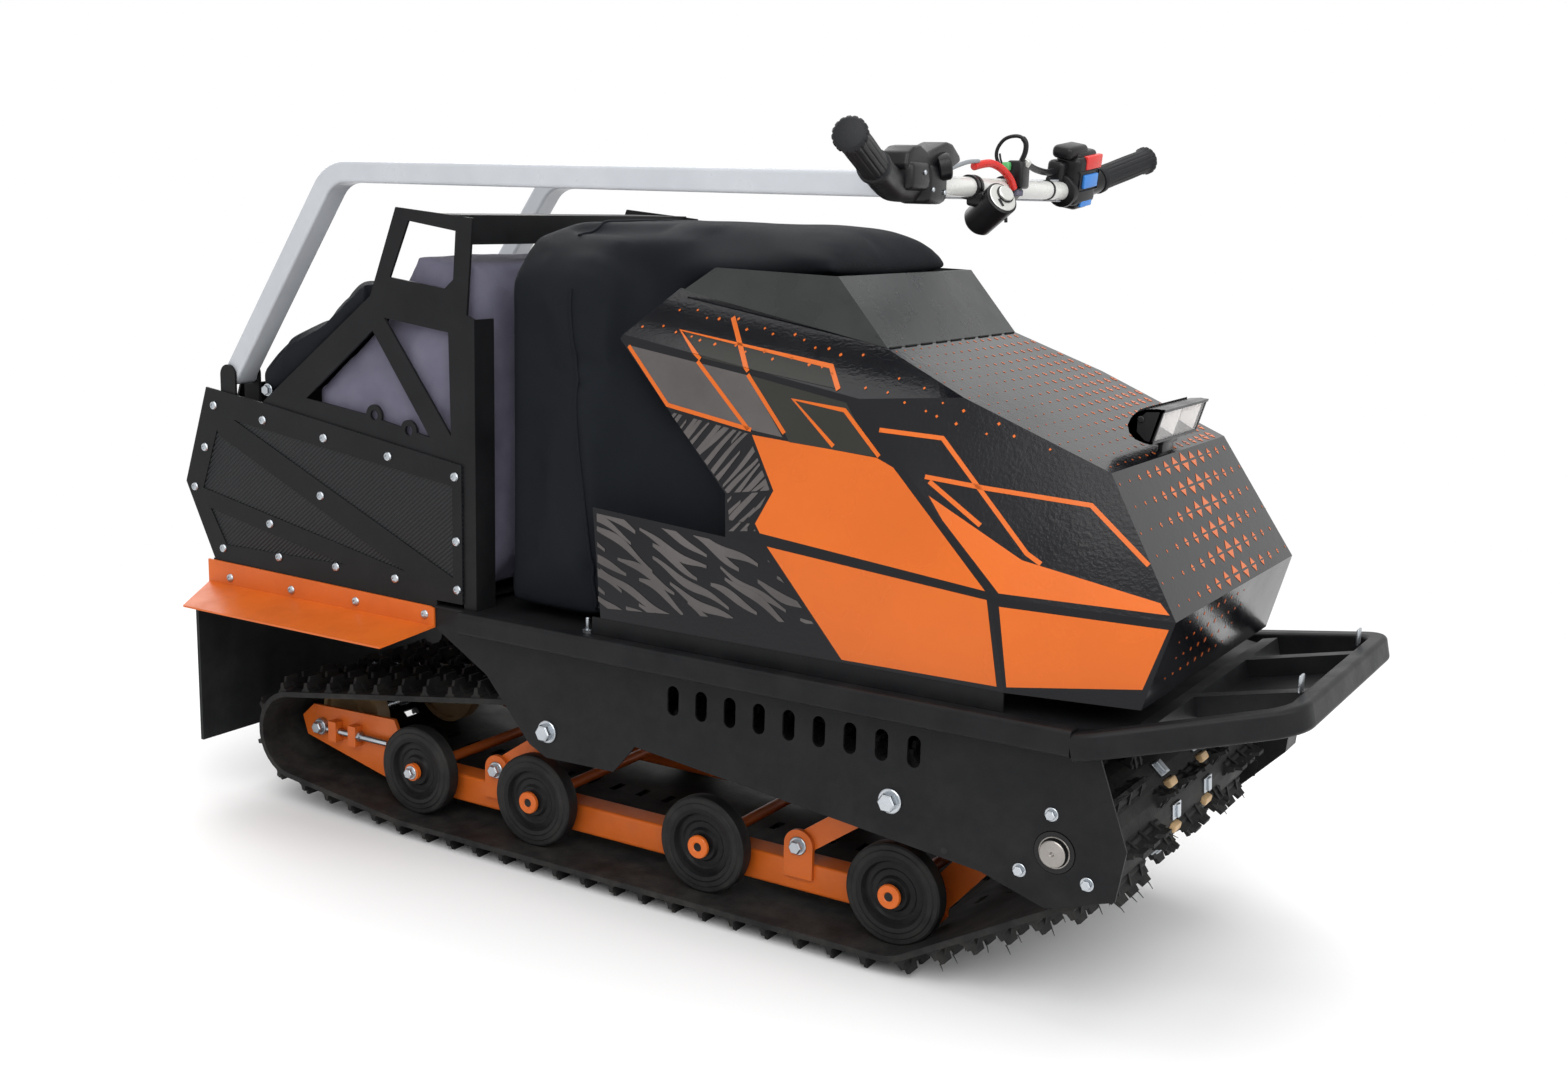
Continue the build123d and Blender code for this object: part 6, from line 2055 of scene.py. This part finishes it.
@dataclass
class SmallTrim:
    """The dashes of the bend line and the side plates' small holes as dark marks of painted shade, and the
    studs and tabs.
    """

    shop: Workshop

    def build(self) -> None:
        """Makes the dark marks that paint the shade in the bend line's slots and the side plates' holes, then
        the bright studs and tabs.
        """
        # painted shade: thin black blocks and discs stand for the slots and holes
        bm = bmesh.new()
        for number in range(9):
            y = -168 + number * 42
            MeshShop.block(bm, mm(332.6, y, 781.4), mm(2.4, 30, 2.0), bevel=0.0006, steps=1)
        for _, side in SIDES:
            MeshShop.ring(bm, mm(478, side * 270.0, 196), LEFT * side,
                          ((0, 0.0), (0.0042, 0.0), (0.0042, 0.0003), (0, 0.0003)), 24)
        self.shop.make("bend_slots", bm, "belt_rubber", "satin_black")
        bm = bmesh.new()
        for _, side in SIDES:
            base = mm(-66, side * 262, 376)
            MeshShop.ring(bm, base, UP, ((0, 0.0), (0.0095, 0.0), (0.0095, 0.0016),
                                                        (0, 0.0016)), 32)
            MeshShop.ring(bm, base, UP, ((0, 0.0014), (0.0070, 0.0014), (0.0070, 0.0070),
                                                        (0.0060, 0.0076), (0, 0.0076)), 6)
            MeshShop.ring(bm, base, UP, ((0, 0.007), (0.0032, 0.007), (0.0032, 0.0225),
                                                        (0.0024, 0.0235), (0, 0.0235)), 20)
            MeshShop.block(bm, mm(846, side * 132, 436), mm(3, 16, 20), bevel=0.001)
        self.shop.make("zinc_studs", bm, "zinc", "zinc_steel", crease=32.0)


@dataclass(frozen=True)
class Fold:
    """One soft ridge or hollow of cloth along a line."""

    start: Vector
    end: Vector
    width: float
    height: float

    def rise(self, spot: Vector) -> float:
        """How far the cloth rises at a spot.

        Args:
            spot: A point of the cloth.

        Returns:
            The rise in metres.
        """
        run = self.end - self.start
        share = min(max((spot - self.start).dot(run) / run.length_squared, 0.0), 1.0)
        gap = (spot - (self.start + run * share)).length / self.width
        if gap >= 3:
            return 0.0
        return self.height * math.exp(-gap * gap) * (0.35 + 0.65 * math.sin(math.pi * share))


CLOTH_STEPS = 20


class ClothShop:
    """Turns packed soft solids into puffed cloth."""

    @staticmethod
    def _copy(name: str, node: str, voxel: float, shrink: float, rounding: int) -> Object:
        """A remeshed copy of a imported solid, a little smaller.

        Args:
            name: The copy's name.
            node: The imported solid.
            voxel: The grid's size.
            shrink: How far its skin moves in.
            rounding: How often its corners are smoothed.

        Returns:
            The copy.
        """
        mesh = frame["nodes"][node].data.copy()
        piece = bpy.data.objects.new(name, mesh)
        bpy.context.scene.collection.objects.link(piece)
        bm = bmesh.new()
        bm.from_mesh(mesh)
        bmesh.ops.remove_doubles(bm, verts=bm.verts, dist=1e-5)
        bm.to_mesh(mesh)
        bm.free()
        remesh = piece.modifiers.new("grid", "REMESH")
        remesh.mode = "VOXEL"
        remesh.voxel_size = voxel
        soften = piece.modifiers.new("soften", "SMOOTH")
        soften.factor = 0.5
        soften.iterations = rounding
        ClothShop._apply(piece)
        for vertex, normal in [(v, v.normal.copy()) for v in piece.data.vertices]:
            vertex.co -= normal * shrink
        return piece

    @staticmethod
    def _apply(piece: Object) -> None:
        """Turns a piece's modifiers into its plain mesh.

        Args:
            piece: The piece.
        """
        bpy.context.view_layer.update()
        graph = bpy.context.evaluated_depsgraph_get()
        mesh = bpy.data.meshes.new_from_object(piece.evaluated_get(graph))
        old = piece.data
        piece.modifiers.clear()
        piece.data = mesh
        bpy.data.meshes.remove(old)

    def puff(self, name: str, node: str, voxel: float, shrink: float, pressure: float, cap: float,
             rounding: int = 10, folds: Sequence[Fold] = ()) -> Object:
        """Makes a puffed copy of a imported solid.

        Args:
            name: The piece's name.
            node: The solid that it stands for.
            voxel: The grid's size.
            shrink: How much smaller it starts.
            pressure: The air pressure inside.
            cap: How far a point may move.
            rounding: How often its corners are smoothed.
            folds: The soft folds that it gets.

        Returns:
            The piece, with its cloth applied.
        """
        piece = self._copy(name, node, voxel, shrink, rounding)
        start = [v.co.copy() for v in piece.data.vertices]
        cloth = piece.modifiers.new("cloth", "CLOTH")
        settings = cloth.settings
        settings.quality = 4
        settings.use_pressure = True
        settings.uniform_pressure_force = pressure
        settings.tension_stiffness = 12.0
        settings.compression_stiffness = 6.0
        settings.bending_stiffness = 0.6
        settings.effector_weights.gravity = 0.0
        cloth.collision_settings.use_collision = False
        scene = bpy.context.scene
        for step in range(1, CLOTH_STEPS + 1):
            scene.frame_set(step)
        self._apply(piece)
        scene.frame_set(1)
        for vertex, home in zip(piece.data.vertices, start):
            move = vertex.co - home
            if move.length > cap:
                vertex.co = home + move * (cap / move.length)
        for vertex, normal in [(v, v.normal.copy()) for v in piece.data.vertices]:
            vertex.co += normal * sum(fold.rise(vertex.co) for fold in folds)
        divide = piece.modifiers.new("divide", "SUBSURF")
        divide.levels = 1
        divide.render_levels = 1
        self._apply(piece)
        for face in piece.data.polygons:
            face.use_smooth = True
        return piece


@dataclass
class SoftGoods:
    """The engine cover, the rear pad and the liner, with the cover's seams."""

    shop: Workshop

    def build(self) -> None:
        """Puffs the three and lays the cover's piping."""
        sewing = ClothShop()
        cover = sewing.puff("engine_cover_cloth", "engine_cover", 0.010, 0.004, 3.0, 0.010, rounding=46,
                            folds=self._folds())
        self.shop.settle(cover, "cover_cloth", CHASSIS, "cover_fabric", ("engine_cover",))
        pad = sewing.puff("rear_pad", "cargo_cover", 0.0075, 0.006, 4.0, 0.014)
        self.shop.settle(pad, "cover_cloth", CHASSIS, "cover_fabric", ("cargo_cover",))
        # painted sheen: the liner's lilac-grey colour stands for light on its dark cloth
        liner = sewing.puff("liner_bag", "cargo_liner", 0.012, 0.008, 2.0, 0.006)
        self.shop.settle(liner, "lilac_painted_sheen", CHASSIS, "liner_fabric", ("cargo_liner",))
        self._piping(cover)

    @staticmethod
    def _folds() -> tuple[Fold, ...]:
        """The engine cover's folds, alike on both sides.

        Returns:
            The folds.
        """
        rows = (
            # start, end, width and height in millimetres, for the right side
            ((-120, -252, 800), (-40, -248, 470), 16, 3.2), ((-95, -252, 790), (20, -240, 480), 14, -2.8),
            ((-160, -256, 700), (-120, -252, 420), 13, 2.6), ((-20, -225, 830), (90, -215, 600), 17, 3.0),
            ((-10, -238, 700), (120, -225, 520), 15, -2.6), ((-130, -215, 880), (-60, -205, 850), 12, 3.4),
            ((-40, -190, 905), (60, -185, 880), 13, -3.0), ((60, -170, 905), (120, -186, 868), 9, 3.6),
            ((90, -160, 900), (250, -165, 872), 14, 3.0), ((150, -176, 880), (300, -150, 850), 11, -2.6),
            ((-150, -40, 925), (-20, 60, 925), 22, 2.4), ((60, -90, 915), (220, 20, 895), 20, 2.2),
        )
        folds = []
        for start, end, width, height in rows:
            for _, side in SIDES:
                folds.append(Fold(mm(start[0], -side * start[1], start[2]),
                                  mm(end[0], -side * end[1], end[2]), width * MM, height * MM))
        return tuple(folds)

    def _piping(self, cover: Object) -> None:
        """Sews piping to the cover along its edges.

        Args:
            cover: The puffed cover.
        """
        tree = BVHTree.FromPolygons([v.co for v in cover.data.vertices],
                                    [tuple(p.vertices) for p in cover.data.polygons])
        lines = (
            [mm(-150, y, 905) for y in range(-180, 181, 15)],
            [mm(-62 - 0.12 * (z - 400), -252, z) for z in range(400, 850, 15)],
            [mm(-62 - 0.12 * (z - 400), 252, z) for z in range(400, 850, 15)],
        )
        bm = bmesh.new()
        for line in lines:
            path = []
            for spot in line:
                hit, normal, _, _ = tree.find_nearest(spot)
                path.append(hit + normal * 0.0006)
            MeshShop.tube(bm, smooth_path(path, 3), 0.0022, 8)
        self.shop.make("cover_piping", bm, "cover_cloth", "cover_fabric", smooth=True, tidy=False)


def dress_frame(paint: Paintshop) -> None:
    """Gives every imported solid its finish.

    Args:
        paint: The paint shop.
    """
    bare = set(frame["nodes"])
    for finish, names in FINISH_NODES.items():
        for name in names.split():
            for node in ([name + side for side, _ in SIDES] if name.endswith("_") else [name]):
                paint.dress(frame["nodes"][node], finish)
                bare.discard(node)
    if bare:
        LOG.warning("no finish for %s", sorted(bare))


def main() -> None:
    """Builds the whole scene in order."""
    logging.basicConfig(level=logging.INFO, format="%(name)s %(message)s")
    bpy.context.scene.view_settings.view_transform = "Standard"
    ViewCamera().build()
    Studio().build()
    paint = Paintshop(FINISHES)
    shop = Workshop(paint, Placer())
    dress_frame(paint)
    for part in (BeltTrack(shop), Wheels(shop), HoodLivery(shop), Headlamp(shop), DriveEnd(shop),
                 Controls(shop), Fasteners(shop), SmallTrim(shop), SoftGoods(shop)):
        LOG.info("building %s", type(part).__name__)
        part.build()


if __name__ == "__main__":
    main()
